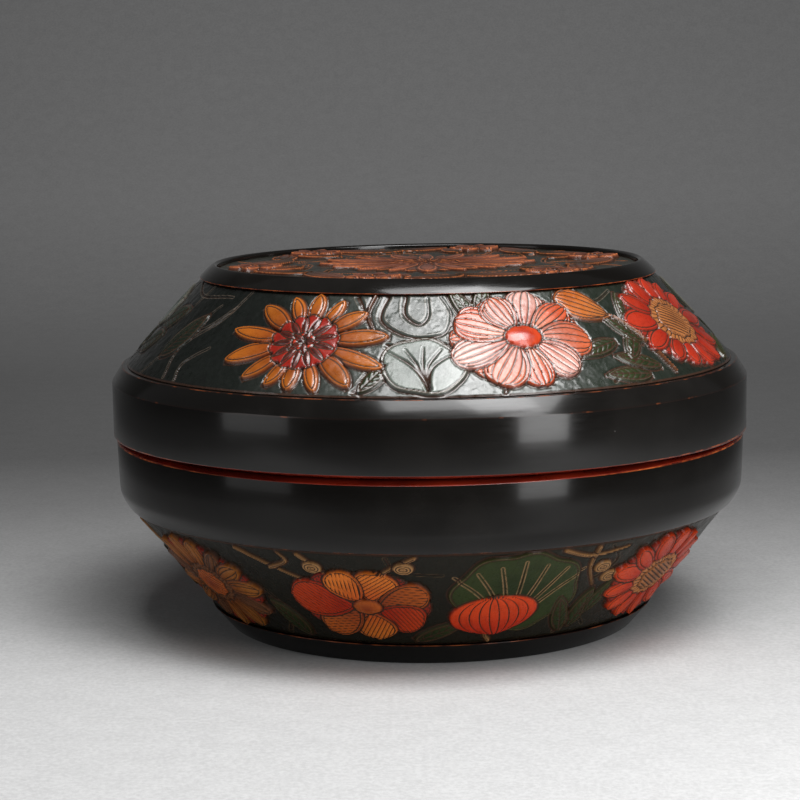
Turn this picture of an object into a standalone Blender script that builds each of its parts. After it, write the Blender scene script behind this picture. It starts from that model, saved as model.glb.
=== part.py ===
"""Round lacquer box in two bodies: a lid that lifts straight off a base.

Each body is glued up from turned rings and a board, with rabbets that centre them, and carries a carved
lacquer coat on its cone. The main motifs stand out from the coats in relief. The units are metres,
+Z is up, -Y is the front, and the origin is on the floor under the middle.
"""

import math

import bmesh
import bpy

# Clearances between pieces
JOINT_GAP = 0.0003
LIP_CLEARANCE = 0.0006
LIP_END_CLEARANCE = 0.0008

# Foot ring
FOOT_BOTTOM_RADIUS = 0.0780
FOOT_TOP_RADIUS = 0.0850
FOOT_HEIGHT = 0.0082
FOOT_STANDING_WIDTH = 0.0080
FOOT_LEDGE_HEIGHT = 0.0060

# Outside of the base
BASE_BAND_RISE = 0.0390
BASE_EDGE_RISE = 0.0069
BASE_EDGE_INSET = 0.0032
BASE_WALL_RISE = 0.0175
BASE_WALL_TAPER = 0.0006
BASE_SETBACK = 0.0011

# Outside of the lid
LID_RADIUS = 0.1200
LID_WALL_RISE = 0.0194
LID_EDGE_RISE = 0.0060
LID_EDGE_INSET = 0.0038
LID_BAND_RISE = 0.0320

# Mouth edges, which are bevelled so that an open red groove shows between lid and base
MOUTH_BEVEL_RISE = 0.00115
MOUTH_BEVEL_WIDTH = 0.0040

# Raised rim round the top
RIM_RADIUS = 0.0862
RIM_WIDTH = 0.0068
RIM_RISE = 0.0050
RIM_INNER_RISE = 0.0043
RIM_CREST_INSET = 0.0012
RIM_SHOULDER_INSET = 0.0032
RIM_SHOULDER_RISE = 0.0036

# Walls
SIDE_WALL = 0.0080
CONE_WALL = 0.0080
COAT_DEPTH = 0.0030
GROUND_DEPTH = 0.0013
TENON_RISE = 0.0020

# Lip that stands in the mouth of the base
LIP_THICKNESS = 0.0030
LIP_RISE = 0.0092
LIP_SEAT_DEPTH = 0.0105
LIP_CHAMFER = 0.0008

# Boards
TOP_BOARD_THICKNESS = 0.0073
TOP_BOARD_LAP_THICKNESS = 0.0045
TOP_BOARD_LAP_WIDTH = 0.0050
TOP_BOARD_WALL = 0.0055
FLOOR_BOARD_THICKNESS = 0.0077

# Carved panel in the top
TOP_CARVING_THICKNESS = 0.0026
TOP_RELIEF_RISE = 0.0028

# Relief of the coats: depth of a motif's root in its coat, and heights over the ground, as shares
ROOT_SHARE = 0.45
EDGE_HEIGHT_SHARE = 0.55

# Petal of a flower: turn within the petal, reach and height over the ground, as shares
PETAL_SHARES = (
    (0.00, 0.60, 0.30),
    (0.20, 0.84, 0.55),
    (0.50, 1.00, 0.55),
    (0.80, 0.84, 0.55),
    (0.00, 0.52, 0.40),
    (0.50, 0.74, 1.00),
    (0.00, 0.42, 0.60),
)
HEART_HEIGHT_SHARE = 1.0

# Half of a pointed leaf: places across and up the leaf, as shares of its half width and half height
LEAF_SHARES = ((0.00, -1.00), (0.80, -0.48), (1.00, 0.05), (0.55, 0.62), (0.00, 1.00))

# Round leaf: its rim, the dish inside the rim and the notch at its stem, as shares of its reach
ROUND_LEAF_STEPS = 14
RIM_SHARE = 0.86
DISH_HEIGHT_SHARE = 0.70
NOTCH_SHARE = 0.60

# Motifs of the bands: azimuth and tilt in degrees, and place up the band, half width and half height as
# shares of the band's width. A flower's row ends with its number of petals
BAND_REPEAT_COUNT = 2
LID_FLOWER_SHARES = (
    (-25, 0, 0.50, 0.70, 0.45, 14),
    (19, 0, 0.55, 0.58, 0.43, 9),
    (62, 0, 0.52, 0.65, 0.45, 13),
)
LID_ROUND_LEAF_SHARES = ((-1, 12, 0.28, 0.33, 0.26), (93, -150, 0.66, 0.28, 0.22))
LID_LEAF_SHARES = (
    (-72, 115, 0.36, 0.15, 0.25),
    (-67, 60, 0.68, 0.15, 0.25),
    (-58, 15, 0.72, 0.14, 0.22),
    (-62, -160, 0.17, 0.13, 0.15),
    (34, -104, 0.38, 0.08, 0.26),
    (35, -56, 0.80, 0.13, 0.24),
    (92, -60, 0.30, 0.14, 0.22),
    (104, 60, 0.32, 0.14, 0.22),
)
BASE_FLOWER_SHARES = (
    (-52, 0, 0.50, 0.54, 0.44, 13),
    (-13, 0, 0.45, 0.52, 0.36, 7),
    (53, 0, 0.52, 0.54, 0.44, 13),
)
BASE_ROUND_LEAF_SHARES = ((17, 10, 0.58, 0.46, 0.40),)
BASE_BUD_SHARES = ((13, -8, 0.34, 0.32, 0.20),)
BASE_LEAF_SHARES = (
    (34, 8, 0.30, 0.08, 0.22),
    (84, 20, 0.55, 0.09, 0.24),
    (92, 70, 0.60, 0.15, 0.21),
    (102, -50, 0.40, 0.15, 0.21),
    (-80, -150, 0.45, 0.09, 0.24),
)

# Motifs of the top in the same order, as shares of the panel's radius
TOP_FLOWER_SHARES = ((0, 0, 0.00, 0.50, 0.50, 16),)
TOP_SPRAY_COUNT = 6
TOP_LEAF_SHARES = ((24, -60, 0.75, 0.10, 0.20), (2, 64, 0.77, 0.09, 0.17))
TOP_BLOSSOM_SHARES = ((43, 0, 0.83, 0.13, 0.13, 6),)

# Mesh detail
SEGMENTS = 52
CURVE_STEPS = 4
SHARP_ANGLE = math.radians(20)
MERGE_DISTANCE = 0.00001


class Cone:
    """Straight side of a turned body, between a lower and an upper edge given as (radius, height)."""

    def __init__(self, lower, upper):
        self.foot_radius, self.foot_height = lower
        self.run = upper[0] - lower[0]
        self.rise = upper[1] - lower[1]
        self.widening = math.hypot(self.run, self.rise) / self.rise

    def radius(self, height, depth=0):
        """Radius at a height, on the surface that lies at a depth below the side."""
        along = (height - self.foot_height) * self.run / self.rise
        return self.foot_radius + along - depth * self.widening

    def height(self, radius, depth=0):
        """Height at which the surface at a depth below the side has a radius."""
        along = radius + depth * self.widening - self.foot_radius
        return self.foot_height + along * self.rise / self.run


class Band:
    """Ground of a coat on a cone, on which motifs that are drawn flat are laid without stretch."""

    def __init__(self, cone, bottom, top):
        self.lower_radius = cone.radius(bottom, GROUND_DEPTH)
        self.bottom = bottom
        run = cone.radius(top, GROUND_DEPTH) - self.lower_radius
        self.width = math.hypot(run, top - bottom)
        self.lean = run / self.width
        self.climb = (top - bottom) / self.width
        self.tip = self.lower_radius / self.lean
        self.relief = GROUND_DEPTH
        self.root = (COAT_DEPTH - GROUND_DEPTH) * ROOT_SHARE

    def point(self, turn, place_share, across, up, rise):
        """Point at a rise over the ground, beside an anchor at a turn and a share of the width."""
        reach = self.tip + place_share * self.width + up
        along = math.copysign(math.hypot(across, reach), reach) - self.tip
        swing = turn + math.atan2(across, abs(reach)) / abs(self.lean)
        radius = self.lower_radius + along * self.lean + rise * self.climb
        height = self.bottom + along * self.climb - rise * self.lean
        return (radius * math.sin(swing), -radius * math.cos(swing), height)


class Panel:
    """Flat round ground, on which a motif's up side points away from the middle."""

    def __init__(self, radius, height, thickness):
        self.width = radius
        self.height = height
        self.relief = TOP_RELIEF_RISE
        self.root = thickness * ROOT_SHARE

    def point(self, turn, place_share, across, up, rise):
        """Point at a rise over the ground, beside an anchor at a turn and a share of the radius."""
        out = place_share * self.width + up
        x = out * math.sin(turn) - across * math.cos(turn)
        y = -out * math.cos(turn) - across * math.sin(turn)
        return (x, y, self.height + rise)


# Levels, from the floor up
BASE_BAND_TOP = FOOT_HEIGHT + BASE_BAND_RISE
BASE_WALL_BOTTOM = BASE_BAND_TOP + BASE_EDGE_RISE
BASE_WALL_TOP = BASE_WALL_BOTTOM + BASE_WALL_RISE
BASE_MOUTH = BASE_WALL_TOP + MOUTH_BEVEL_RISE
LID_MOUTH = BASE_MOUTH + JOINT_GAP
LID_WALL_BOTTOM = LID_MOUTH + MOUTH_BEVEL_RISE
LID_WALL_TOP = LID_WALL_BOTTOM + LID_WALL_RISE
LID_BAND_BOTTOM = LID_WALL_TOP + LID_EDGE_RISE
LID_BAND_TOP = LID_BAND_BOTTOM + LID_BAND_RISE
LID_CORE_TOP = LID_BAND_TOP - JOINT_GAP
LIP_BED = BASE_MOUTH - LIP_SEAT_DEPTH
LIP_TOP = BASE_MOUTH + LIP_RISE
FLOOR_BOTTOM = FOOT_LEDGE_HEIGHT + JOINT_GAP
FLOOR_TOP = FLOOR_BOTTOM + FLOOR_BOARD_THICKNESS
CEILING = LID_CORE_TOP - TOP_BOARD_THICKNESS
LAP_LEVEL = LID_CORE_TOP - TOP_BOARD_LAP_THICKNESS

# Radii that follow from the outside and the walls
BASE_MOUTH_RADIUS = LID_RADIUS - BASE_SETBACK
BASE_WALL_RADIUS = BASE_MOUTH_RADIUS - BASE_WALL_TAPER
LID_BORE = LID_RADIUS - SIDE_WALL
LIP_OUTER_RADIUS = LID_BORE - LIP_CLEARANCE
INNER_RADIUS = LIP_OUTER_RADIUS - LIP_THICKNESS
CORE_DEPTH = COAT_DEPTH + JOINT_GAP
BASE_CONE = Cone((FOOT_TOP_RADIUS, FOOT_HEIGHT), (BASE_WALL_RADIUS - BASE_EDGE_INSET, BASE_BAND_TOP))
LID_CONE = Cone((LID_RADIUS - LID_EDGE_INSET, LID_BAND_BOTTOM), (RIM_RADIUS, LID_BAND_TOP))
RIM_BORE_RADIUS = RIM_RADIUS - RIM_WIDTH
TOP_BOARD_RABBET = LID_CONE.radius(LID_CORE_TOP, CORE_DEPTH) - TOP_BOARD_WALL
TOP_BOARD_LEDGE = TOP_BOARD_RABBET - TOP_BOARD_LAP_WIDTH


def curve_points(start, control, end):
    """Points of a soft edge from start to end, which a control point draws outwards."""
    points = []
    for step in range(CURVE_STEPS + 1):
        share = step / CURVE_STEPS
        points.append(
            tuple(
                (1 - share) ** 2 * a + 2 * share * (1 - share) * b + share**2 * c
                for a, b, c in zip(start, control, end)
            )
        )
    return points


def inner_cone_points(cone, bed):
    """Inside of a side ring beside its cone: the edge at the bed, and the edge where the bore begins."""
    edge_radius = min(cone.radius(bed, CONE_WALL), INNER_RADIUS)
    return [(edge_radius, bed), (INNER_RADIUS, cone.height(INNER_RADIUS, CONE_WALL))]


def lid_side_ring():
    """Upright wall of the lid with its mouth, its sloping black edge and the bed of the shoulder ring."""
    rabbet = LID_CONE.radius(LID_BAND_BOTTOM, CORE_DEPTH) + JOINT_GAP
    bed = LID_BAND_BOTTOM - TENON_RISE
    step = LIP_TOP + LIP_END_CLEARANCE
    return [
        (LID_BORE, LID_MOUTH),
        (LID_RADIUS - MOUTH_BEVEL_WIDTH, LID_MOUTH),
        (LID_RADIUS, LID_WALL_BOTTOM),
        (LID_RADIUS, LID_WALL_TOP),
        (LID_CONE.foot_radius, LID_BAND_BOTTOM),
        (rabbet, LID_BAND_BOTTOM),
        (rabbet, bed),
        *inner_cone_points(LID_CONE, bed),
        (INNER_RADIUS, step),
        (LID_BORE, step),
    ]


def lid_shoulder_ring():
    """Cone-shaped core of the lid, with a tenon below and a rabbet for the top board above."""
    tenon_radius = LID_CONE.radius(LID_BAND_BOTTOM, CORE_DEPTH)
    tenon_bottom = LID_BAND_BOTTOM - TENON_RISE + JOINT_GAP
    return [
        (min(LID_CONE.radius(tenon_bottom, CONE_WALL), INNER_RADIUS), tenon_bottom),
        (tenon_radius, tenon_bottom),
        (tenon_radius, LID_BAND_BOTTOM),
        (LID_CONE.radius(LID_CORE_TOP, CORE_DEPTH), LID_CORE_TOP),
        (TOP_BOARD_RABBET, LID_CORE_TOP),
        (TOP_BOARD_RABBET, LAP_LEVEL - JOINT_GAP),
        (TOP_BOARD_LEDGE, LAP_LEVEL - JOINT_GAP),
        (TOP_BOARD_LEDGE, CEILING),
        (LID_CONE.radius(CEILING, CONE_WALL), CEILING),
    ]


def coat_outline(cone, bottom, top):
    """Section of a lacquer coat on a cone, from its back on the core to the ground of the carving."""
    return [
        (cone.radius(bottom, COAT_DEPTH), bottom),
        (cone.radius(bottom, GROUND_DEPTH), bottom),
        (cone.radius(top, GROUND_DEPTH), top),
        (cone.radius(top, COAT_DEPTH), top),
    ]


def lid_shoulder_carving():
    """Lacquer coat on the shoulder of the lid."""
    return coat_outline(LID_CONE, LID_BAND_BOTTOM + JOINT_GAP, LID_CORE_TOP)


def lid_top_board():
    """Board that closes the lid, with a lapped edge that lies on the ledge of the shoulder ring."""
    lap_radius = TOP_BOARD_RABBET - JOINT_GAP
    lower_radius = TOP_BOARD_LEDGE - JOINT_GAP
    return [
        (0, LID_CORE_TOP),
        (lap_radius, LID_CORE_TOP),
        (lap_radius, LAP_LEVEL),
        (lower_radius, LAP_LEVEL),
        (lower_radius, CEILING),
        (0, CEILING),
    ]


def lid_top_rim():
    """Raised black rim on the top edge of the shoulder, soft outside and upright inside."""
    crest = (RIM_BORE_RADIUS + RIM_CREST_INSET, LID_BAND_TOP + RIM_RISE)
    shoulder = (RIM_RADIUS - RIM_SHOULDER_INSET, LID_BAND_TOP + RIM_SHOULDER_RISE)
    return [
        *curve_points((RIM_RADIUS, LID_BAND_TOP), shoulder, crest),
        (RIM_BORE_RADIUS, LID_BAND_TOP + RIM_INNER_RISE),
        (RIM_BORE_RADIUS, LID_BAND_TOP),
    ]


def lid_top_carving():
    """Round lacquer panel that fills the rim."""
    edge = RIM_BORE_RADIUS - JOINT_GAP
    top = LID_BAND_TOP + TOP_CARVING_THICKNESS
    return [(0, top), (edge, top), (edge, LID_BAND_TOP), (0, LID_BAND_TOP)]


def foot_ring():
    """Foot that the box stands on, with a ledge inside for the floor board."""
    rabbet = BASE_CONE.radius(FOOT_HEIGHT, CONE_WALL)
    standing_radius = FOOT_BOTTOM_RADIUS - FOOT_STANDING_WIDTH
    return [
        (standing_radius, 0),
        (FOOT_BOTTOM_RADIUS, 0),
        (FOOT_TOP_RADIUS, FOOT_HEIGHT),
        (rabbet, FOOT_HEIGHT),
        (rabbet, FOOT_LEDGE_HEIGHT),
        (standing_radius, FOOT_LEDGE_HEIGHT),
    ]


def base_floor_board():
    """Board that closes the base: its lower edge lies in the foot ring and its upper edge in the cone."""
    board_depth = CONE_WALL + JOINT_GAP
    lower_radius = BASE_CONE.radius(FOOT_HEIGHT, board_depth)
    return [
        (0, FLOOR_TOP),
        (BASE_CONE.radius(FLOOR_TOP, board_depth), FLOOR_TOP),
        (lower_radius, FOOT_HEIGHT),
        (lower_radius, FLOOR_BOTTOM),
        (0, FLOOR_BOTTOM),
    ]


def base_cone_ring():
    """Cone-shaped core of the base, with a tenon that enters the side ring."""
    bottom = FOOT_HEIGHT + JOINT_GAP
    tenon_radius = BASE_CONE.radius(BASE_BAND_TOP, CORE_DEPTH)
    tenon_top = BASE_BAND_TOP + TENON_RISE - JOINT_GAP
    return [
        (BASE_CONE.radius(bottom, CONE_WALL), bottom),
        (BASE_CONE.radius(bottom, CORE_DEPTH), bottom),
        (tenon_radius, BASE_BAND_TOP),
        (tenon_radius, tenon_top),
        (min(BASE_CONE.radius(tenon_top, CONE_WALL), INNER_RADIUS), tenon_top),
    ]


def base_carving():
    """Lacquer coat on the lower cone."""
    return coat_outline(BASE_CONE, FOOT_HEIGHT + JOINT_GAP, BASE_BAND_TOP - JOINT_GAP)


def base_side_ring():
    """Upright wall of the base: its mouth, its soft lower edge and the seats of the cone and the lip."""
    rabbet = BASE_CONE.radius(BASE_BAND_TOP, CORE_DEPTH) + JOINT_GAP
    bed = BASE_BAND_TOP + TENON_RISE
    lip_rabbet = LIP_OUTER_RADIUS + JOINT_GAP
    edge_start = (BASE_WALL_RADIUS, BASE_WALL_BOTTOM)
    edge_end = (BASE_WALL_RADIUS - BASE_EDGE_INSET, BASE_BAND_TOP)
    corner = (BASE_WALL_RADIUS, BASE_CONE.height(BASE_WALL_RADIUS))
    return [
        (lip_rabbet, BASE_MOUTH),
        (BASE_MOUTH_RADIUS - MOUTH_BEVEL_WIDTH, BASE_MOUTH),
        (BASE_MOUTH_RADIUS, BASE_WALL_TOP),
        *curve_points(edge_start, corner, edge_end),
        (rabbet, BASE_BAND_TOP),
        (rabbet, bed),
        *inner_cone_points(BASE_CONE, bed),
        (INNER_RADIUS, LIP_BED),
        (lip_rabbet, LIP_BED),
    ]


def base_lip_ring():
    """Thin lip in the mouth of the base, which the lid slides over."""
    return [
        (INNER_RADIUS, LIP_BED + JOINT_GAP),
        (LIP_OUTER_RADIUS, LIP_BED + JOINT_GAP),
        (LIP_OUTER_RADIUS, LIP_TOP - LIP_CHAMFER),
        (LIP_OUTER_RADIUS - LIP_CHAMFER, LIP_TOP),
        (INNER_RADIUS, LIP_TOP),
    ]


def flower_drawing(petals):
    """Open flower in a unit circle: its points with their height shares, its faces and its outline."""
    points = []
    faces = []
    outline = []
    count = len(PETAL_SHARES)
    middle = petals * count
    for petal in range(petals):
        for turn_share, reach_share, height_share in PETAL_SHARES:
            turn = math.tau * (petal + turn_share) / petals
            points.append((reach_share * math.sin(turn), reach_share * math.cos(turn), height_share))
        fork, left, tip, right, valley, ridge, heart = range(petal * count, (petal + 1) * count)
        after = (petal + 1) % petals * count
        next_fork, next_valley, next_heart = after, after + valley - fork, after + heart - fork
        faces += [(fork, left, valley), (left, ridge, valley), (left, tip, ridge), (tip, right, ridge)]
        faces += [(right, next_valley, ridge), (right, next_fork, next_valley), (valley, ridge, heart)]
        faces += [(ridge, next_valley, next_heart), (ridge, next_heart, heart), (heart, next_heart, middle)]
        outline += [fork, left, tip, right]
    points.append((0, 0, HEART_HEIGHT_SHARE))
    return points, faces, outline


def fan_drawing(outline_places):
    """Crowned motif: its points with their height shares, its faces and its outline."""
    count = len(outline_places)
    points = [(across, up, EDGE_HEIGHT_SHARE) for across, up in outline_places]
    points.append((0, 0, 1))
    faces = [(index, (index + 1) % count, count) for index in range(count)]
    return points, faces, list(range(count))


def leaf_drawing():
    """Pointed leaf or pod that is crowned along its middle."""
    left_side = [(-across, up) for across, up in LEAF_SHARES[-2:0:-1]]
    return fan_drawing([*LEAF_SHARES, *left_side])


def round_leaf_drawing():
    """Round leaf with a raised rim and a notch where its stem begins."""
    points = []
    for reach_share, height_share in ((1, EDGE_HEIGHT_SHARE), (RIM_SHARE, 1)):
        for step in range(ROUND_LEAF_STEPS):
            turn = math.tau * (step / ROUND_LEAF_STEPS)
            reach = reach_share * (NOTCH_SHARE if step == ROUND_LEAF_STEPS // 2 else 1)
            points.append((reach * math.sin(turn), reach * math.cos(turn), height_share))
    points.append((0, 0, DISH_HEIGHT_SHARE))
    faces = []
    for step in range(ROUND_LEAF_STEPS):
        after = (step + 1) % ROUND_LEAF_STEPS
        rim, next_rim = step + ROUND_LEAF_STEPS, after + ROUND_LEAF_STEPS
        faces += [(step, after, next_rim), (step, next_rim, rim), (rim, next_rim, 2 * ROUND_LEAF_STEPS)]
    return points, faces, list(range(ROUND_LEAF_STEPS))


def add_motif(shape, ground, drawing, turn, tilt, place_share, width_share, height_share):
    """Add the closed solid of one drawing, which is rooted in the coat, to a relief."""
    points, faces, outline = drawing
    levels = []
    for rooted in (False, True):
        level = []
        for across, up, rise_share in points:
            side = across * width_share * ground.width
            climb = up * height_share * ground.width
            across_band = side * math.cos(tilt) - climb * math.sin(tilt)
            up_band = side * math.sin(tilt) + climb * math.cos(tilt)
            rise = -ground.root if rooted else rise_share * ground.relief
            place = ground.point(turn, place_share, across_band, up_band, rise)
            level.append(shape.verts.new(place))
        levels.append(level)
    upper, lower = levels
    for face in faces:
        shape.faces.new([upper[index] for index in face])
        shape.faces.new([lower[index] for index in reversed(face)])
    for start, end in zip(outline, outline[1:] + outline[:1]):
        shape.faces.new((lower[start], lower[end], upper[end], upper[start]))


def add_motifs(shape, ground, repeats, drawing, rows):
    """Add each row's motif in each repeat of the pattern; a flower's row ends with its number of petals."""
    for azimuth, tilt, *shares in rows:
        motif = drawing(shares.pop()) if drawing is flower_drawing else drawing()
        for repeat in range(repeats):
            turn = math.radians(azimuth) + math.tau * repeat / repeats
            add_motif(shape, ground, motif, turn, math.radians(tilt), *shares)


def lid_relief():
    """Flowers, round leaves, leaves and pods of the lid's shoulder."""
    ground = Band(LID_CONE, LID_BAND_BOTTOM + JOINT_GAP, LID_CORE_TOP)
    shape = bmesh.new()
    add_motifs(shape, ground, BAND_REPEAT_COUNT, flower_drawing, LID_FLOWER_SHARES)
    add_motifs(shape, ground, BAND_REPEAT_COUNT, round_leaf_drawing, LID_ROUND_LEAF_SHARES)
    add_motifs(shape, ground, BAND_REPEAT_COUNT, leaf_drawing, LID_LEAF_SHARES)
    return shape


def base_relief():
    """Flowers, round leaves, buds and leaves of the lower cone."""
    ground = Band(BASE_CONE, FOOT_HEIGHT + JOINT_GAP, BASE_BAND_TOP - JOINT_GAP)
    shape = bmesh.new()
    add_motifs(shape, ground, BAND_REPEAT_COUNT, flower_drawing, BASE_FLOWER_SHARES)
    add_motifs(shape, ground, BAND_REPEAT_COUNT, round_leaf_drawing, BASE_ROUND_LEAF_SHARES)
    add_motifs(shape, ground, BAND_REPEAT_COUNT, leaf_drawing, BASE_BUD_SHARES + BASE_LEAF_SHARES)
    return shape


def top_relief():
    """Large flower of the top, with a wreath of leaves and small flowers round it."""
    ground = Panel(RIM_BORE_RADIUS - JOINT_GAP, LID_BAND_TOP + TOP_CARVING_THICKNESS, TOP_CARVING_THICKNESS)
    shape = bmesh.new()
    add_motifs(shape, ground, 1, flower_drawing, TOP_FLOWER_SHARES)
    add_motifs(shape, ground, TOP_SPRAY_COUNT, leaf_drawing, TOP_LEAF_SHARES)
    add_motifs(shape, ground, TOP_SPRAY_COUNT, flower_drawing, TOP_BLOSSOM_SHARES)
    return shape


def turned_mesh(name, outline):
    """Closed mesh of an outline of (radius, height) points, spun about +Z."""
    shape = bmesh.new()
    corners = [shape.verts.new((radius, 0, height)) for radius, height in outline]
    edges = [shape.edges.new(pair) for pair in zip(corners, corners[1:] + corners[:1])]
    on_axis = [edge for edge in edges if max(vert.co.x for vert in edge.verts) == 0]
    bmesh.ops.delete(shape, geom=on_axis, context="EDGES_FACES")
    bmesh.ops.spin(
        shape,
        geom=shape.verts[:] + shape.edges[:],
        cent=(0, 0, 0),
        axis=(0, 0, 1),
        angle=math.tau,
        steps=SEGMENTS,
        use_merge=False,
        use_duplicate=False,
    )
    bmesh.ops.remove_doubles(shape, verts=shape.verts[:], dist=MERGE_DISTANCE)
    bmesh.ops.recalc_face_normals(shape, faces=shape.faces[:])
    mesh = bpy.data.meshes.new(name)
    shape.to_mesh(mesh)
    shape.free()
    mesh.shade_smooth()
    mesh.set_sharp_from_angle(angle=SHARP_ANGLE)
    return mesh


def lacquer(name, colour, roughness):
    """Material of one lacquer finish."""
    material = bpy.data.materials.new(name)
    material.use_nodes = True
    shader = material.node_tree.nodes["Principled BSDF"]
    shader.inputs["Base Color"].default_value = (*colour, 1)
    shader.inputs["Roughness"].default_value = roughness
    shader.inputs["Metallic"].default_value = 0
    material.diffuse_color = (*colour, 1)
    return material


def body_empty(name, height):
    """Empty on the box's axis that carries the pieces of one body."""
    empty = bpy.data.objects.new(name, None)
    empty.location = (0, 0, height)
    bpy.context.collection.objects.link(empty)
    return empty


def add_piece(body, outline, material):
    """Turn the piece that an outline function describes, and hang it on its body."""
    name = outline.__name__
    piece = bpy.data.objects.new(name, turned_mesh(name, outline()))
    piece.data.materials.append(material)
    piece.parent = body
    piece.location = (0, 0, -body.location.z)
    bpy.context.collection.objects.link(piece)
    return piece


def add_relief(piece, relief):
    """Raise the motifs that a relief function describes from a coat."""
    shape = relief()
    bmesh.ops.recalc_face_normals(shape, faces=shape.faces[:])
    mesh = bpy.data.meshes.new(relief.__name__)
    shape.to_mesh(mesh)
    shape.free()
    motifs = bpy.data.objects.new(relief.__name__, mesh)
    motifs.parent = piece.parent
    motifs.location = piece.location
    motifs.hide_render = True
    motifs.display_type = "WIRE"
    bpy.context.collection.objects.link(motifs)
    union = piece.modifiers.new("relief", "BOOLEAN")
    union.operation = "UNION"
    union.solver = "EXACT"
    union.use_self = True
    union.object = motifs


def main():
    """Clear the scene and build the base and the lid."""
    for old in list(bpy.data.objects):
        bpy.data.objects.remove(old)

    base = body_empty("base", 0)
    add_piece(base, foot_ring, lacquer("foot_lacquer", (0.014, 0.012, 0.010), 0.30))
    add_piece(base, base_floor_board, lacquer("floor_lacquer", (0.120, 0.012, 0.006), 0.35))
    add_piece(base, base_cone_ring, lacquer("base_core_lacquer", (0.100, 0.010, 0.006), 0.40))
    base_coat = add_piece(base, base_carving, lacquer("base_coat", (0.030, 0.032, 0.024), 0.40))
    add_relief(base_coat, base_relief)
    add_piece(base, base_side_ring, lacquer("base_wall_lacquer", (0.016, 0.014, 0.012), 0.25))
    add_piece(base, base_lip_ring, lacquer("lip_lacquer", (0.160, 0.014, 0.006), 0.30))

    lid = body_empty("lid", LID_MOUTH)
    add_piece(lid, lid_side_ring, lacquer("lid_wall_lacquer", (0.018, 0.016, 0.014), 0.22))
    add_piece(lid, lid_shoulder_ring, lacquer("shoulder_core_lacquer", (0.100, 0.010, 0.006), 0.40))
    lid_coat = add_piece(lid, lid_shoulder_carving, lacquer("lid_coat", (0.045, 0.050, 0.040), 0.38))
    add_relief(lid_coat, lid_relief)
    add_piece(lid, lid_top_board, lacquer("top_board_lacquer", (0.120, 0.012, 0.006), 0.35))
    add_piece(lid, lid_top_rim, lacquer("rim_lacquer", (0.012, 0.010, 0.009), 0.15))
    top_coat = add_piece(lid, lid_top_carving, lacquer("top_coat", (0.210, 0.080, 0.045), 0.45))
    add_relief(top_coat, top_relief)


main()
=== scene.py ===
"""Looks of a round carved lacquer box: turned black walls, two carved bands and a carved round top.

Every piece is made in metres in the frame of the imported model, rides on the body "base" or "lid", and lies
where the node that it replaces lies. An azimuth is counted in degrees from the front (-Y) towards the right
(+X), and a share of a band runs from 0 at its lower edge to 1 at its upper edge. On the top it runs from the
middle outwards.
"""

import contextlib
import enum
import logging
import math
from collections.abc import Callable, Iterator
from dataclasses import dataclass, replace

import bmesh
import bpy
import numpy as np
from mathutils import Matrix, Vector, noise


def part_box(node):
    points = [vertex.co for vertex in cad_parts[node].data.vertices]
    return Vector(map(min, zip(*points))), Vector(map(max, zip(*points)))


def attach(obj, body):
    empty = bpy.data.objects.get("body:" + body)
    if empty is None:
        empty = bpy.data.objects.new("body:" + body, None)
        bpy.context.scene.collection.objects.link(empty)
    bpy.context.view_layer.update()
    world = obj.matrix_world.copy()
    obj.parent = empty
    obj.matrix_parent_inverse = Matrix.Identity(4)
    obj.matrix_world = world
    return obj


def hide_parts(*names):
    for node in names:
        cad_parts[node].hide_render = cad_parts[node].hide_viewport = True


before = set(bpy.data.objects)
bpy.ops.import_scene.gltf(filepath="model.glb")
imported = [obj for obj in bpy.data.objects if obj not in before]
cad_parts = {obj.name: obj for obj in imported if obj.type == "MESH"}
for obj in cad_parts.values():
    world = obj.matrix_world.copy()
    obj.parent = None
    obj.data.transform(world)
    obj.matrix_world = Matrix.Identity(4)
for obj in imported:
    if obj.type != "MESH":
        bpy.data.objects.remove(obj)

MM = 0.001
TURNED_MERGE = 0.001 * MM
CARVED_MERGE = 0.002 * MM
LOG = logging.getLogger("lacquer_box")

Point = tuple[float, float]
Colour = tuple[float, float, float]
Place = tuple[float, float, float]


class Body(enum.Enum):
    """Bodies of the box that pieces ride on."""

    BASE = "base"
    LID = "lid"


class Slot(enum.Enum):
    """Material slots of the record."""

    BLACK = "black_lacquer"
    RED = "red_lacquer"
    CARVED = "carved_lacquer"
    TOP = "carved_top_lacquer"


# Modelling with Blender's operators


def alone(piece: bpy.types.Object) -> None:
    """Select one object and nothing else, and make it active.

    Args:
        piece: The object.
    """
    bpy.ops.object.select_all(action="DESELECT")
    piece.select_set(True)
    bpy.context.view_layer.objects.active = piece


@contextlib.contextmanager
def editing(piece: bpy.types.Object) -> Iterator[None]:
    """Hold an object in edit mode, with vertices to select.

    Args:
        piece: The object.

    Returns:
        A context that leaves edit mode at its end.
    """
    alone(piece)
    bpy.ops.object.mode_set(mode="EDIT")
    bpy.ops.mesh.select_mode(type="VERT")
    yield
    bpy.ops.object.mode_set(mode="OBJECT")


def select_points(piece: bpy.types.Object, test: Callable[[Vector], bool]) -> int:
    """Select the vertices of an object in edit mode that pass a test of their place.

    Args:
        piece: The object in edit mode.
        test: Says for a place whether its vertex is selected.

    Returns:
        How many vertices are selected.
    """
    bpy.ops.mesh.select_all(action="DESELECT")
    shape = bmesh.from_edit_mesh(piece.data)
    found = [vertex for vertex in shape.verts if test(vertex.co)]
    for vertex in found:
        vertex.select_set(True)
    shape.select_flush(True)
    bmesh.update_edit_mesh(piece.data)
    return len(found)


def near_any(points: list[Point], reach: float = 0.002 * MM) -> Callable[[Vector], bool]:
    """Test of whether a place in the half plane is one of some (radius, height) points."""
    return lambda place: any(abs(place.x - r) < reach and abs(place.z - z) < reach for r, z in points)


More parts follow.
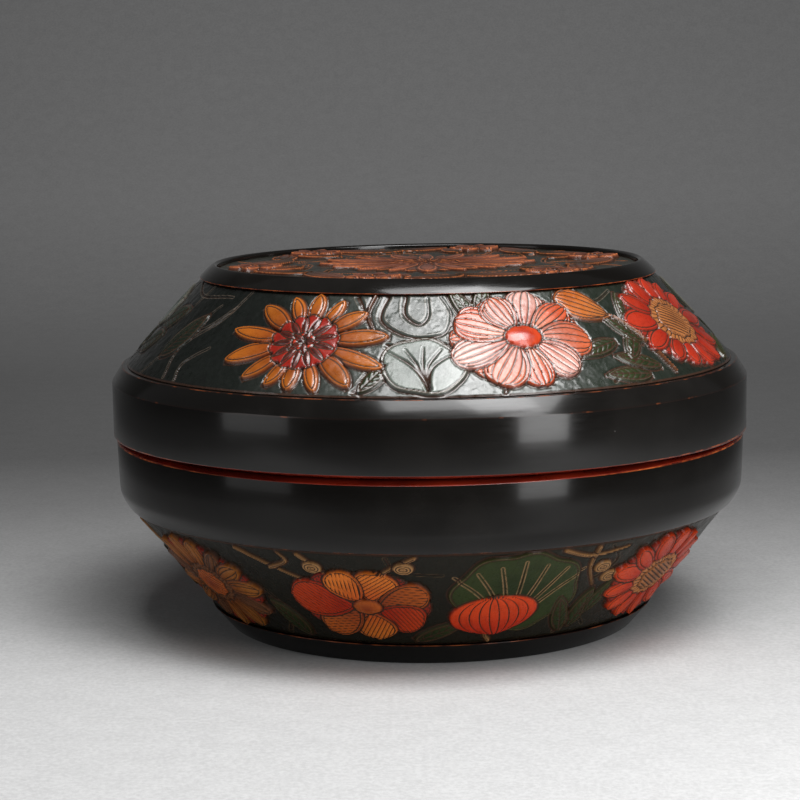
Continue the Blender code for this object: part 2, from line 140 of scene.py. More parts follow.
def places(mesh: bpy.types.Mesh) -> np.ndarray:
    """Read where the vertices of a mesh are.

    Args:
        mesh: The mesh.

    Returns:
        Rows of x, y and z.
    """
    flat = np.empty(len(mesh.vertices) * 3, np.float32)
    mesh.vertices.foreach_get("co", flat)
    return flat.reshape(-1, 3).astype(float)


def set_places(mesh: bpy.types.Mesh, rows: np.ndarray) -> None:
    """Move the vertices of a mesh to rows of x, y and z."""
    mesh.vertices.foreach_set("co", rows.astype(np.float32).ravel())
    mesh.update()


def set_mark(mesh: bpy.types.Mesh, name: str, rows: np.ndarray) -> None:
    """Keep three numbers for each vertex of a mesh under an attribute name."""
    mark = mesh.attributes.new(name, "FLOAT_VECTOR", "POINT")
    mark.data.foreach_set("vector", rows.astype(np.float32).ravel())


def smooth_shaded(piece: bpy.types.Object, angle: float) -> None:
    """Shade an object smooth, apart from its edges that are sharper than an angle in degrees."""
    alone(piece)
    bpy.ops.object.shade_smooth_by_angle(angle=math.radians(angle))


def handed_over(piece: bpy.types.Object, body: Body, slot: Slot, node: str) -> None:
    """Let a finished piece ride on its body and hide the node that it stands for.

    Args:
        piece: The finished piece.
        body: Body that it rides on.
        slot: Its material slot; not used.
        node: Node that it replaces.
    """
    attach(piece, body.value)
    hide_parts(node)
    LOG.info("%s: %d vertices on %s", piece.name, len(piece.data.vertices), body.value)


# Shader nodes


class Shade:
    """A value socket on which sums written in Python add Math nodes."""

    def __init__(self, bench: "Bench", socket: bpy.types.NodeSocket) -> None:
        """Wrap a socket of a material that is being made."""
        self.bench = bench
        self.socket = socket

    def math(self, operation: str, *others: "Shade | float") -> "Shade":
        """Result of a Math node on this value and others."""
        return self.bench.node("ShaderNodeMath", {"operation": operation}, dict(enumerate((self, *others))))

    def __add__(self, other: "Shade | float") -> "Shade":
        """This value plus another."""
        return self.math("ADD", other)

    def __sub__(self, other: "Shade | float") -> "Shade":
        """This value less another."""
        return self.math("SUBTRACT", other)

    def __rsub__(self, other: float) -> "Shade":
        """A number less this value."""
        return self.math("MULTIPLY_ADD", -1.0, other)

    def __mul__(self, other: "Shade | float") -> "Shade":
        """This value times another."""
        return self.math("MULTIPLY", other)

    __radd__ = __add__
    __rmul__ = __mul__

    def __pow__(self, other: float) -> "Shade":
        """This value to a power."""
        return self.math("POWER", other)

    def span(self, low: float, high: float, start: float = 0.0, end: float = 1.0) -> "Shade":
        """This value eased from start to end as it goes from low to high.

        Args:
            low: Value at which the result starts.
            high: Value at which the result ends.
            start: Result at the low value.
            end: Result at the high value.

        Returns:
            The eased value.
        """
        inputs = {0: self, 1: low, 2: high, 3: start, 4: end}
        return self.bench.node("ShaderNodeMapRange", {"interpolation_type": "SMOOTHSTEP"}, inputs)


class Bench:
    """A material on the bench, whose nodes are added one by one."""

    def __init__(self, name: str) -> None:
        """Start a material with a Principled shader.

        Args:
            name: Name of the material.
        """
        self.material = bpy.data.materials.new(name)
        self.material.use_nodes = True
        self.tree = self.material.node_tree
        self.shader = self.tree.nodes["Principled BSDF"]

    def node(self, kind: str, settings: dict | None = None, inputs: dict | None = None,
             output: int | str = 0) -> Shade:
        """Add a node and give one of its outputs.

        Args:
            kind: Type name of the node.
            settings: Properties of the node, which are set first. The key "stops" holds a ramp's stops.
            inputs: Values or links of its sockets, by number or name.
            output: Number or name of the output wanted.

        Returns:
            The output as a value for sums.
        """
        node = self.tree.nodes.new(kind)
        for key, value in (settings or {}).items():
            if key == "stops":
                self._set_stops(node.color_ramp, value)
            else:
                setattr(node, key, value)
        for key, value in (inputs or {}).items():
            if isinstance(value, Shade):
                self.tree.links.new(value.socket, node.inputs[key])
            else:
                node.inputs[key].default_value = value
        return Shade(self, node.outputs[output])

    @staticmethod
    def _set_stops(ramp: bpy.types.ColorRamp, stops: tuple[Point, ...]) -> None:
        """Give a ramp its stops.

        Args:
            ramp: The ramp.
            stops: Place and grey of each stop.
        """
        while len(ramp.elements) < len(stops):
            ramp.elements.new(1.0)
        for element, (place, grey) in zip(ramp.elements, stops):
            element.position = place
            element.color = (grey, grey, grey, 1.0)

    def spot(self) -> Shade:
        """Place on the object, in metres."""
        return self.node("ShaderNodeTexCoord", output="Object")

    def mark(self, name: str) -> Shade:
        """Three numbers kept for each vertex under an attribute name."""
        return self.node("ShaderNodeAttribute", {"attribute_name": name}, output="Vector")

    def parts(self, vector: Shade) -> tuple[Shade, Shade, Shade]:
        """Split a vector.

        Args:
            vector: The vector.

        Returns:
            Its three numbers.
        """
        first = self.node("ShaderNodeSeparateXYZ", inputs={0: vector})
        outputs = first.socket.node.outputs
        return first, Shade(self, outputs[1]), Shade(self, outputs[2])

    def vector(self, x: Shade | float, y: Shade | float, z: Shade | float) -> Shade:
        """A vector of three numbers."""
        return self.node("ShaderNodeCombineXYZ", inputs={0: x, 1: y, 2: z})

    def grain(self, at: Shade, scale: float, detail: float = 3.0, roughness: float = 0.55) -> Shade:
        """Soft random value from 0 to 1 over a place, with a number of waves for each unit of the place."""
        inputs = {"Vector": at, "Scale": scale, "Detail": detail, "Roughness": roughness}
        return self.node("ShaderNodeTexNoise", {"noise_dimensions": "3D"}, inputs)

    def mix(self, share: Shade | float, one: Shade | Colour, other: Shade | Colour,
            blend: str = "MIX") -> Shade:
        """Mix two colours.

        Args:
            share: Share of the other colour, from 0 to 1.
            one: Colour at share 0.
            other: Colour that is mixed in.
            blend: How it is mixed in.

        Returns:
            The mixed colour.
        """
        colours = [value if isinstance(value, Shade) else (*value, 1.0) for value in (one, other)]
        settings = {"data_type": "RGBA", "blend_type": blend}
        return self.node("ShaderNodeMix", settings, {0: share, 6: colours[0], 7: colours[1]}, output=2)

    def bump(self, height: Shade, distance: float, strength: float, over: Shade | None = None) -> Shade:
        """Give a surface fine relief.

        Args:
            height: Height of the relief, from 0 to 1.
            distance: Depth in metres at height 1.
            strength: Share of the relief that shows.
            over: Normal of another relief that it lies over.

        Returns:
            The normal.
        """
        inputs = {"Height": height, "Distance": distance, "Strength": strength}
        if over is not None:
            inputs["Normal"] = over
        return self.node("ShaderNodeBump", inputs=inputs)

    def set(self, **values: Shade | float | Colour) -> None:
        """Set sockets of the shader.

        Args:
            values: Values or links, by the socket's name with _ for a space.
        """
        for key, value in values.items():
            socket = self.shader.inputs[key.replace("_", " ")]
            if isinstance(value, Shade):
                self.tree.links.new(value.socket, socket)
            else:
                socket.default_value = (*value, 1.0) if isinstance(value, tuple) else value


# Finishes


@dataclass(frozen=True)
class WornArris:
    """Ring on a turned piece where the black coat is rubbed through to the red."""

    radius: float
    height: float
    width: float
    wear: float


@dataclass(frozen=True)
class BlackLacquer:
    """Polished black lacquer with fine turning scratches, specks of dust and worn arrises."""

    name: str
    worn: tuple[WornArris, ...] = ()
    black: Colour = (0.0050, 0.0044, 0.0038)
    haze: Colour = (0.0095, 0.0085, 0.0075)
    red: Colour = (0.34, 0.034, 0.009)
    worn_orange: Colour = (0.55, 0.13, 0.03)
    roughness: float = 0.17
    specular: float = 0.36
    coat: float = 0.2
    dust: Colour = (0.25, 0.24, 0.23)
    scratch_waves: Place = (9.0, 2600.0, 900.0)
    cloud_waves: float = 28.0
    patch_waves: float = 160.0
    speck_waves: float = 120.0
    scratch_depth: float = 0.004 * MM
    cloud_depth: float = 0.06 * MM

    def made(self) -> bpy.types.Material:
        """Make the material.

        Returns:
            The material.
        """
        bench = Bench(self.name)
        spot = bench.spot()
        x, y, z = bench.parts(spot)
        turn = y.math("ARCTAN2", x)
        radius = (x * x + y * y) ** 0.5
        around, up, out = self.scratch_waves
        scratches = bench.grain(bench.vector(turn * around, z * up, radius * out), 1.0, 4.0, 0.7)
        clouds = bench.grain(spot, self.cloud_waves, 4.0)
        patches = bench.grain(spot, self.patch_waves)
        colour = bench.mix(clouds.span(0.42, 0.72), self.black, self.haze)
        specks = bench.node("ShaderNodeTexVoronoi", inputs={"Vector": spot, "Scale": self.speck_waves})
        dust = specks.span(0.040, 0.028) * clouds.span(0.58, 0.64)
        colour = bench.mix(dust * 0.4, colour, self.dust)
        tint = bench.mix(patches.span(0.3, 0.7), self.red, self.worn_orange)
        for ring in self.worn:
            across, down = radius - ring.radius, z - ring.height
            near = (across * across + down * down) ** 0.5
            rubbed = near.span(ring.width, ring.width * 0.3)
            rubbed = rubbed * patches.span(0.68 - ring.wear * 0.45, 0.72, 0.05, 1.0)
            colour = bench.mix(rubbed * ring.wear, colour, tint)
        rough = scratches.span(0.35, 0.75, self.roughness * 0.85, self.roughness * 1.4)
        rough = rough + clouds.span(0.4, 0.7) * 0.03
        bench.set(Base_Color=colour, Roughness=rough + dust * 0.4, Specular_IOR_Level=self.specular)
        bench.set(Anisotropic=0.4, Anisotropic_Rotation=0.25, Coat_Weight=self.coat, Coat_Roughness=0.07)
        relief = bench.bump(clouds, self.cloud_depth, 0.5)
        bench.set(Normal=bench.bump(scratches, self.scratch_depth, 0.6, relief))
        return bench.material


@dataclass(frozen=True)
class RedLacquer:
    """Dark red lacquer of the mouths, the lip and the inside."""

    name: str
    deep: Colour = (0.105, 0.0075, 0.0035)
    bright: Colour = (0.27, 0.022, 0.007)
    roughness: float = 0.22
    cloud_waves: float = 45.0
    brush_waves: Point = (7.0, 700.0)
    brush_depth: float = 0.01 * MM
    cloud_depth: float = 0.06 * MM

    def made(self) -> bpy.types.Material:
        """Make the material.

        Returns:
            The material.
        """
        bench = Bench(self.name)
        spot = bench.spot()
        x, y, z = bench.parts(spot)
        around, up = self.brush_waves
        clouds = bench.grain(spot, self.cloud_waves, 4.0)
        brush = bench.grain(bench.vector(y.math("ARCTAN2", x) * around, z * up, 0.0), 1.0)
        share = clouds.span(0.3, 0.7) * 0.6 + brush.span(0.35, 0.7) * 0.4
        bench.set(Base_Color=bench.mix(share, self.deep, self.bright))
        bench.set(Roughness=brush.span(0.3, 0.7, self.roughness, self.roughness * 1.8))
        relief = bench.bump(clouds, self.cloud_depth, 0.5)
        bench.set(Normal=bench.bump(brush, self.brush_depth, 0.5, relief))
        return bench.material


@dataclass(frozen=True)
class CarvedLacquer:
    """Carved coat: each motif in its own tint, brown in the cuts, pale on its lips, under a clear coat.

    It reads three marks of the carved mesh: "tint" is a motif's colour, which holds painted shade on the side
    walls and painted light on the bands' ground, a painted sheen on the lid; "cut" holds cut, lip and gloss,
    where the pale lip is partly rubbed wear and partly a painted glint; "grain" holds the place on the motif
    in millimetres and its seed.
    """

    name: str
    cut: Colour = (0.040, 0.018, 0.010)
    # Colour of the pale lips: rubbed wear, and in part a painted glint.
    line: Colour = (0.20, 0.15, 0.11)
    grime: float = 0.42
    roughness: float = 0.30
    specular: float = 0.5
    coat: float = 0.5
    soot: Colour = (0.42, 0.34, 0.32)
    mottle_waves: float = 450.0
    blotch_waves: float = 120.0
    stroke_waves: Place = (1.9, 0.30, 40.0)
    mottle_depth: float = 0.10 * MM
    blotch_depth: float = 0.25 * MM

    def made(self) -> bpy.types.Material:
        """Make the material.

        Returns:
            The material.
        """
        bench = Bench(self.name)
        spot = bench.spot()
        tint = bench.mark("tint")
        cut, lip, gloss = bench.parts(bench.mark("cut"))
        across, along, seed = bench.parts(bench.mark("grain"))
        mottle = bench.grain(spot, self.mottle_waves, 4.0, 0.6)
        blotch = bench.grain(spot, self.blotch_waves)
        side, up, step = self.stroke_waves
        strokes = bench.grain(bench.vector(across * side, along * up, seed * step), 1.0, 3.0, 0.6)
        dark = bench.mix(1.0, tint, self.soot, "MULTIPLY")
        dirt = blotch.span(0.46, 0.72, 0.0, self.grime) + strokes.span(0.48, 0.72, 0.0, 0.38)
        colour = bench.mix(dirt, tint, dark)
        # Pale lips: partly rubbed wear, partly a painted glint along the edges.
        colour = bench.mix(lip.span(0.2, 0.8) * mottle.span(0.25, 0.6, 0.25, 0.9), colour, self.line)
        colour = bench.mix((cut + (mottle - 0.5) * 0.35).span(0.30, 0.62), colour, self.cut)
        rough = mottle.span(0.25, 0.75, self.roughness * 0.75, self.roughness * 1.4) - gloss * 0.10
        bench.set(Base_Color=colour, Roughness=rough, Specular_IOR_Level=self.specular)
        bench.set(Coat_Weight=self.coat, Coat_Roughness=0.13)
        relief = bench.bump(blotch, self.blotch_depth, 0.5)
        bench.set(Normal=bench.bump(mottle * 0.5 + strokes * 0.5, self.mottle_depth, 0.6, relief))
        return bench.material


# Turned pieces


@dataclass(frozen=True)
class Section:
    """Outline of a turned node in its half plane, as (radius, height) points in order."""

    points: tuple[Point, ...]
    closed: bool

    @classmethod
    def of(cls, node: str) -> "Section":
        """Read the outline of a node where it crosses the half plane of +X.

        Args:
            node: Name of the node.

        Returns:
            The outline, which ends on the axis where the node is a solid board.
        """
        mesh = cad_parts[node].data
        corners = [tuple(round(value, 6) for value in vertex.co) for vertex in mesh.vertices]
        links: dict[Point, list[Point]] = {}
        for face in mesh.polygons:
            loop = [corners[index] for index in face.vertices]
            for one, other in zip(loop, loop[1:] + loop[:1]):
                if one != other and one[1] == other[1] == 0.0 and min(one[0], other[0]) > 0.0:
                    for start, end in ((one, other), (other, one)):
                        found = links.setdefault((start[0], start[2]), [])
                        if (end[0], end[2]) not in found:
                            found.append((end[0], end[2]))
        ends = sorted(point for point, others in links.items() if len(others) == 1)
        path = [(ends or sorted(links))[0]]
        while len(path) < len(links):
            path.append(next(point for point in sorted(links[path[-1]]) if point not in path))
        if ends:
            path = [(0.0, path[0][1]), *path, (0.0, path[-1][1])]
        return cls(tuple(path), not ends)

    def corners(self, least: float, most: float) -> list[Point]:
        """Find the points at which the outline turns by an angle between two limits.

        Args:
            least: Lower limit in degrees.
            most: Upper limit in degrees.

        Returns:
            The points, in the order of the outline.
        """
        found = []
        count = len(self.points)
        for index in range(count) if self.closed else range(1, count - 1):
            before, here, after = (Vector(self.points[(index + step) % count]) for step in (-1, 0, 1))
            if least <= math.degrees((here - before).angle(after - here)) < most:
                found.append(self.points[index])
        return found

    def drawn(self, name: str) -> bpy.types.Object:
        """Draw the outline in the half plane of +X.

        Args:
            name: Name of the object.

        Returns:
            An object of edges.
        """
        radius, height = self.points[0]
        bpy.ops.object.select_all(action="DESELECT")
        bpy.ops.mesh.primitive_plane_add(size=MM, location=(radius, 0.0, height))
        wire = bpy.context.object
        wire.name = wire.data.name = name
        bpy.ops.object.transform_apply(location=True)
        with editing(wire):
            bpy.ops.mesh.select_all(action="SELECT")
            bpy.ops.mesh.merge(type="CENTER")
            for start, end in zip(self.points, self.points[1:]):
                step = (end[0] - start[0], 0.0, end[1] - start[1])
                bpy.ops.mesh.extrude_vertices_move(TRANSFORM_OT_translate={"value": step})
            if self.closed:
                select_points(wire, near_any([self.points[0], self.points[-1]]))
                bpy.ops.mesh.edge_face_add()
        return wire


def closed(piece: bpy.types.Object, merge: float, angle: float) -> None:
    """Merge the points of a piece that meet, fill what is open, turn its faces outwards and shade it.

    Args:
        piece: The piece.
        merge: Distance in metres within which points are merged.
        angle: Angle in degrees above which an edge stays sharp.
    """
    with editing(piece):
        bpy.ops.mesh.select_all(action="SELECT")
        bpy.ops.mesh.remove_doubles(threshold=merge)
        bpy.ops.mesh.select_all(action="SELECT")
        bpy.ops.mesh.fill_holes(sides=0)
        bpy.ops.mesh.select_all(action="SELECT")
        bpy.ops.mesh.normals_make_consistent(inside=False)
    smooth_shaded(piece, angle)


@dataclass(frozen=True)
class Turning:
    """One turned piece of the box, remade finely from the section of its node."""

    node: str
    body: Body
    slot: Slot
    arris: float = 0.35 * MM
    steps: int = 360
    sharp_from: float = 25.0
    soft_share: int = 40
    segments: int = 3

    def build(self) -> bpy.types.Object:
        """Make the piece: outline, softened corners, spin.

        Returns:
            The piece, still without a finish.
        """
        section = Section.of(self.node)
        piece = section.drawn(f"{self.node}_turned")
        with editing(piece):
            if select_points(piece, near_any(section.corners(self.sharp_from, 180.0))):
                bpy.ops.mesh.bevel(offset=self.arris, segments=self.segments, affect="VERTICES",
                                   clamp_overlap=True)
            if select_points(piece, near_any(section.corners(1.0, self.sharp_from))):
                bpy.ops.mesh.bevel(offset_type="PERCENT", offset_pct=self.soft_share,
                                   segments=self.segments, affect="VERTICES")
            bpy.ops.mesh.select_all(action="SELECT")
            bpy.ops.mesh.spin(steps=self.steps, angle=math.tau, center=(0, 0, 0), axis=(0, 0, 1))
        closed(piece, TURNED_MERGE, 40.0)
        return piece

    def dress(self, piece: bpy.types.Object, outside: bpy.types.Material,
              inside: bpy.types.Material | None = None,
              hidden: Callable[[float, float, Vector], bool] | None = None) -> None:
        """Give the piece its finishes and hand it over.

        Args:
            piece: The piece that build made.
            outside: Finish of its outer faces.
            inside: Finish of the faces that a test picks.
            hidden: Test of a face's radius, height and normal in its half plane.
        """
        piece.data.materials.append(outside)
        if inside is not None and hidden is not None:
            piece.data.materials.append(inside)
            for face in piece.data.polygons:
                centre = face.center
                radius = math.hypot(centre.x, centre.y) or MM
                out = (face.normal.x * centre.x + face.normal.y * centre.y) / radius
                if hidden(radius, centre.z, Vector((out, face.normal.z))):
                    face.material_index = 1
        handed_over(piece, self.body, self.slot, self.node)


@dataclass(frozen=True)
class Gape:
    """Slight gape of the two mouths at the front, where the lid sits a little proud of the base."""

    azimuth: float = -8.0
    lid_lift: float = 0.35 * MM
    lid_close: float = 0.80 * MM
    base_drop: float = 0.30 * MM
    base_close: float = 0.85 * MM
    reach: float = 0.8 * MM

    def move(self, piece: bpy.types.Object, ring: Point, opened: float, shut: float) -> None:
        """Move the vertices at a mouth's arris up or down round the box.

        Args:
            piece: The turned piece.
            ring: Radius and height of the arris.
            opened: Rise of the arris where the gape is widest.
            shut: Rise of the arris where it is shut.
        """
        rows = places(piece.data)
        radius = np.hypot(rows[:, 0], rows[:, 1])
        near = np.hypot(radius - ring[0], rows[:, 2] - ring[1]) < self.reach
        azimuth = np.degrees(np.arctan2(rows[:, 0], -rows[:, 1]))
        share = np.clip(np.cos(np.radians(azimuth - self.azimuth)), 0.0, 1.0) ** 1.5
        rows[near, 2] += (shut + (opened - shut) * share)[near]
        set_places(piece.data, rows)


# Grounds that the carving lies on


def numbered_grid(name: str, columns: int, rows: int) -> tuple[bpy.types.Object, np.ndarray, np.ndarray]:
    """Make a grid of faces whose vertices are still to be placed.

    Args:
        name: Name of the object.
        columns: Number of faces across.
        rows: Number of faces up.

    Returns:
        The object, and the column and the row number of each vertex.
    """
    bpy.ops.object.select_all(action="DESELECT")
    bpy.ops.mesh.primitive_grid_add(x_subdivisions=columns, y_subdivisions=rows, size=2.0)
    grid = bpy.context.object
    grid.name = grid.data.name = name
    unit = places(grid.data)
    column = np.rint((unit[:, 0] + 1.0) / 2 * columns).astype(int)
    row = np.rint((unit[:, 1] + 1.0) / 2 * rows).astype(int)
    return grid, column, row


@dataclass(frozen=True)
class Blank:
    """Uncarved piece of a ground: the azimuth, share and sunken depth of each of its vertices."""

    piece: bpy.types.Object
    azimuth: np.ndarray
    share: np.ndarray
    sunk: np.ndarray


@dataclass(frozen=True)
class ConeBand:
    """Ground of a carved band on a cone, from its lower to its upper edge as (radius, height)."""

    name: str
    node: str
    body: Body
    lower: Point
    upper: Point
    first_seam: float
    back: float = 1.6 * MM
    rows: int = 124
    steps: int = 640
    laps: tuple[float, ...] = (0.0, 180.0)

    @property
    def slant(self) -> float:
        """Width of the band along its slope."""
        return math.dist(self.lower, self.upper)

    @property
    def lean(self) -> float:
        """Widening of the radius for each metre up the slope."""
        return (self.upper[0] - self.lower[0]) / self.slant

    @property
    def climb(self) -> float:
        """Rise for each metre up the slope."""
        return (self.upper[1] - self.lower[1]) / self.slant

    def blanks(self) -> list[Blank]:
        """Make three uncarved pieces, each with a back and two flat ends.

        Returns:
            The pieces, in order of azimuth.
        """
        made = []
        for number in range(3):
            name = f"{self.name}_carved_{number + 1}"
            piece, column, row = numbered_grid(name, self.steps, self.rows + 3)
            behind = row - self.rows
            share = np.where(behind <= 0, row / self.rows, (behind == 1).astype(float))
            azimuth = self.first_seam + 120.0 * (number + column / self.steps)
            made.append(Blank(piece, azimuth, share, self.back * np.isin(behind, (1, 2))))
        return made

    def placed(self, azimuth: np.ndarray, share: np.ndarray, rise: np.ndarray) -> np.ndarray:
        """Place points on the ground or above it.

        Args:
            azimuth: Azimuth of each point in degrees.
            share: Share of each point.
            rise: Height of each point over the ground in metres.

        Returns:
            Rows of x, y and z.
        """
        radius = self.lower[0] + share * self.slant * self.lean + rise * self.climb
        height = self.lower[1] + share * self.slant * self.climb - rise * self.lean
        turn = np.radians(azimuth)
        return np.stack([radius * np.sin(turn), -radius * np.cos(turn), height], axis=1)

    def flat(self, azimuth: np.ndarray, share: np.ndarray, at: Point) -> tuple[np.ndarray, np.ndarray]:
        """Unroll points of the ground round an anchor.

        Args:
            azimuth: Azimuth of each point in degrees.
            share: Share of each point.
            at: Azimuth and share of the anchor.

        Returns:
            Millimetres to the right and up the slope.
        """
        reach = self.lower[0] / self.lean + share * self.slant
        turn = np.radians((azimuth - at[0] + 180.0) % 360.0 - 180.0) * abs(self.lean)
        start = self.lower[0] / self.lean + at[1] * self.slant
        return np.abs(reach) * np.sin(turn) / MM, (reach * np.cos(turn) - start) / MM


@dataclass(frozen=True)
class RoundTop:
    """Flat round ground of the carved top, on which a share runs from the middle to the edge."""

    name: str
    node: str
    body: Body
    radius: float
    height: float
    back: float = 1.6 * MM
    rings: int = 146
    laps: tuple[float, ...] = (0.0, 60.0, 120.0, 180.0, 240.0, 300.0)

    @property
    def slant(self) -> float:
        """Width of the ground from the middle to the edge."""
        return self.radius

    def blanks(self) -> list[Blank]:
        """Make one uncarved panel of square rings drawn out to circles, with a back.

        Returns:
            The panel, alone in its list.
        """
        count = 2 * self.rings + 2
        piece, column, row = numbered_grid(f"{self.name}_carved", count, count)
        across, up = column - count // 2, row - count // 2
        ring = np.maximum(np.abs(across), np.abs(up))
        wide = np.abs(across) >= np.abs(up)
        upright, level = np.where(across == 0, 1, across), np.where(up == 0, 1, up)
        turn = np.where(wide, up / upright, -across / level) * 45.0
        turn = turn + np.where(wide, np.where(across < 0, 180.0, 0.0), np.where(up < 0, 270.0, 90.0))
        sunk = self.back * (ring > self.rings)
        return [Blank(piece, turn, np.minimum(ring, self.rings) / self.rings, sunk)]

    def placed(self, azimuth: np.ndarray, share: np.ndarray, rise: np.ndarray) -> np.ndarray:
        """Place points on the ground or above it.

        Args:
            azimuth: Azimuth of each point in degrees.
            share: Share of each point.
            rise: Height of each point over the ground in metres.

        Returns:
            Rows of x, y and z.
        """
        turn = np.radians(azimuth)
        radius = self.radius * share
        return np.stack([radius * np.sin(turn), -radius * np.cos(turn), self.height + rise], axis=1)

    def flat(self, azimuth: np.ndarray, share: np.ndarray, at: Point) -> tuple[np.ndarray, np.ndarray]:
        """Lay out points of the ground round an anchor.

        Args:
            azimuth: Azimuth of each point in degrees.
            share: Share of each point.
            at: Azimuth and share of the anchor.

        Returns:
            Millimetres across and outwards.
        """
        turn = np.radians(azimuth - at[0])
        radius = share * self.radius / MM
        return -radius * np.sin(turn), radius * np.cos(turn) - at[1] * self.radius / MM


# Shapes of the carving, in millimetres

LINE_WIDTH = 0.24
HATCH_WIDTH, HATCH_SLANT = 0.3, 1.6
VEIN_WIDTH, VEIN_SLANT = 0.26, 1.1
SPLIT_WIDTH = 0.22
COVER = (-0.12, 0.15)
LIFT = (-0.10, 0.60)
# Depths over which a motif's side wall takes its dark side colour, and how much: painted shade, in part the
# brown-red of cut edges.
SHADED_WALL = (0.10, 0.60)
WALL_SHADE_SHARE = 0.8
MOAT_AT, MOAT_WIDTH, MOAT_DEPTH = -0.35, 0.30, 0.30
CUT_DEPTH = 0.28
# Where the pale lips lie, in a motif and beside a groove: partly rubbed wear, partly a painted glint.
GLINT_LIP_AT, GLINT_LIP_WIDTH = 0.65, 0.28
GROOVE_GLINT_LIP_WIDTH, GROOVE_LIP_RISE = 0.25, 0.10
TINT_TURN = (0.05, 0.85)
UNEVEN = 0.30
KNIFE_WAVES = (0.30, 0.80)
KNIFE_RISE, LATE_KNIFE_RISE = 0.07, 0.06
EDGE_SLOPE = (0.0, 0.9)
EDGE_CUT_AT, EDGE_CUT_WIDTH = 0.2, 0.5


def eased(value: np.ndarray, low: float, high: float) -> np.ndarray:
    """Value eased from 0 to 1 between two limits."""
    share = np.clip((value - low) / (high - low), 0.0, 1.0)
    return share * share * (3.0 - 2.0 * share)


def ridge(value: np.ndarray, width: float) -> np.ndarray:
    """Soft ridge of height 1 where a value is 0."""
    return np.exp(-((value / width) ** 2))


def lines(value: np.ndarray, pitch: float, width: float = LINE_WIDTH) -> np.ndarray:
    """Soft ridges wherever a value is a multiple of a pitch."""
    return ridge(np.abs(value / pitch - np.rint(value / pitch)) * pitch, width)


@dataclass(frozen=True)
class Trace:
    """How a shape lies at some points: depth inside its outline, place on it, its cuts and its crown."""

    depth: np.ndarray
    along: np.ndarray
    across: np.ndarray
    cut: np.ndarray
    crown: np.ndarray


@dataclass(frozen=True)
class Blade:
    """Petal or leaf that grows upwards from its root."""

    length: float
    width: float
    root: float = 0.6
    tip: float = 0.8
    bend: float = 0.0
    contour: float = 0.0
    ribs: int = 0
    veins: float = 0.0
    hatch: float = 0.0
    crown: float = 0.30

    @property
    def reach(self) -> float:
        """Distance from the root that the shape stays within."""
        return math.hypot(self.length, self.width) + 2.0

    def read(self, x: np.ndarray, y: np.ndarray) -> Trace:
        """Trace the shape.

        Args:
            x: Millimetres of each point to the right of its root or middle.
            y: Millimetres above it.

        Returns:
            The trace at each point.
        """
        run = np.clip(y / self.length, 0.001, 0.999)
        peak = self.root / (self.root + self.tip)
        full = peak ** self.root * (1.0 - peak) ** self.tip
        half = self.width / 2 * run ** self.root * (1.0 - run) ** self.tip / full
        side = x - 4.0 * self.bend * run * (1.0 - run)
        slope = np.clip(half * (self.root / run - self.tip / (1.0 - run)) / self.length, -2.5, 2.5)
        depth = (half - np.abs(side)) / np.sqrt(1.0 + slope * slope)
        over = np.maximum(-y, y - self.length)
        depth = np.where(over > 0.0, np.minimum(depth, -over), depth)
        across = np.clip(side / np.maximum(half, 0.3), -1.0, 1.0)
        cut = np.zeros(len(x))
        inside = eased(depth, 0.3, 0.9)
        if self.contour:
            cut = ridge(depth - self.contour, LINE_WIDTH)
        if self.ribs:
            pitch = 2.0 / (self.ribs + 1) * np.maximum(half, 0.3)
            cut = np.maximum(cut, lines((across + 1.0) * half, pitch) * inside)
        if self.veins:
            veins = lines(y - np.abs(side) * VEIN_SLANT, self.veins)
            veins = np.maximum(ridge(side, VEIN_WIDTH), veins)
            cut = np.maximum(cut, veins * inside)
        if self.hatch:
            cut = np.maximum(cut, lines(y - side * HATCH_SLANT, self.hatch, HATCH_WIDTH) * inside)
        return Trace(depth, run, across, cut, self.crown * (1.0 - across * across))


@dataclass(frozen=True)
class Disc:
    """Oval, perhaps lobed, with rays or rings cut into it."""

    wide: float
    tall: float
    lobes: int = 0
    lobe: float = 0.0
    rays: int = 0
    rings: float = 0.0
    hatch: float = 0.0
    contour: float = 0.0
    crown: float = 0.6

    @property
    def reach(self) -> float:
        """Distance from the middle that the shape stays within."""
        return max(self.wide, self.tall) * (1.0 + abs(self.lobe)) + 2.0

    def read(self, x: np.ndarray, y: np.ndarray) -> Trace:
        """Trace the shape.

        Args:
            x: Millimetres of each point to the right of its root or middle.
            y: Millimetres above it.

        Returns:
            The trace at each point.
        """
        turn = np.arctan2(x, y)
        out = np.hypot(x, y)
        share = np.hypot(x / self.wide, y / self.tall) / (1.0 + self.lobe * np.cos(self.lobes * turn))
        depth = out / np.maximum(share, 0.02) - out
        depth = np.where(share < 0.05, min(self.wide, self.tall), depth)
        cut = np.zeros(len(x))
        if self.rays:
            gap = np.maximum(out * math.tau / self.rays, 0.6)
            cut = lines(turn * self.rays / math.tau, 1.0, 0.02 + 0.22 / gap)
            cut = cut * eased(depth, 0.2, 0.8) * eased(share, 0.12, 0.2)
        inside = eased(depth, 0.4, 0.8)
        if self.rings:
            cut = np.maximum(cut, lines(depth, self.rings) * inside)
        if self.hatch:
            cut = np.maximum(cut, lines(x * 0.5 + y * 0.87, self.hatch, HATCH_WIDTH) * inside)
        if self.contour:
            cut = np.maximum(cut, ridge(depth - self.contour, LINE_WIDTH))
        crown = self.crown * (1.0 - np.minimum(share, 1.0) ** 2)
        return Trace(depth, np.clip(share, 0.0, 1.0), np.sin(turn), cut, crown)


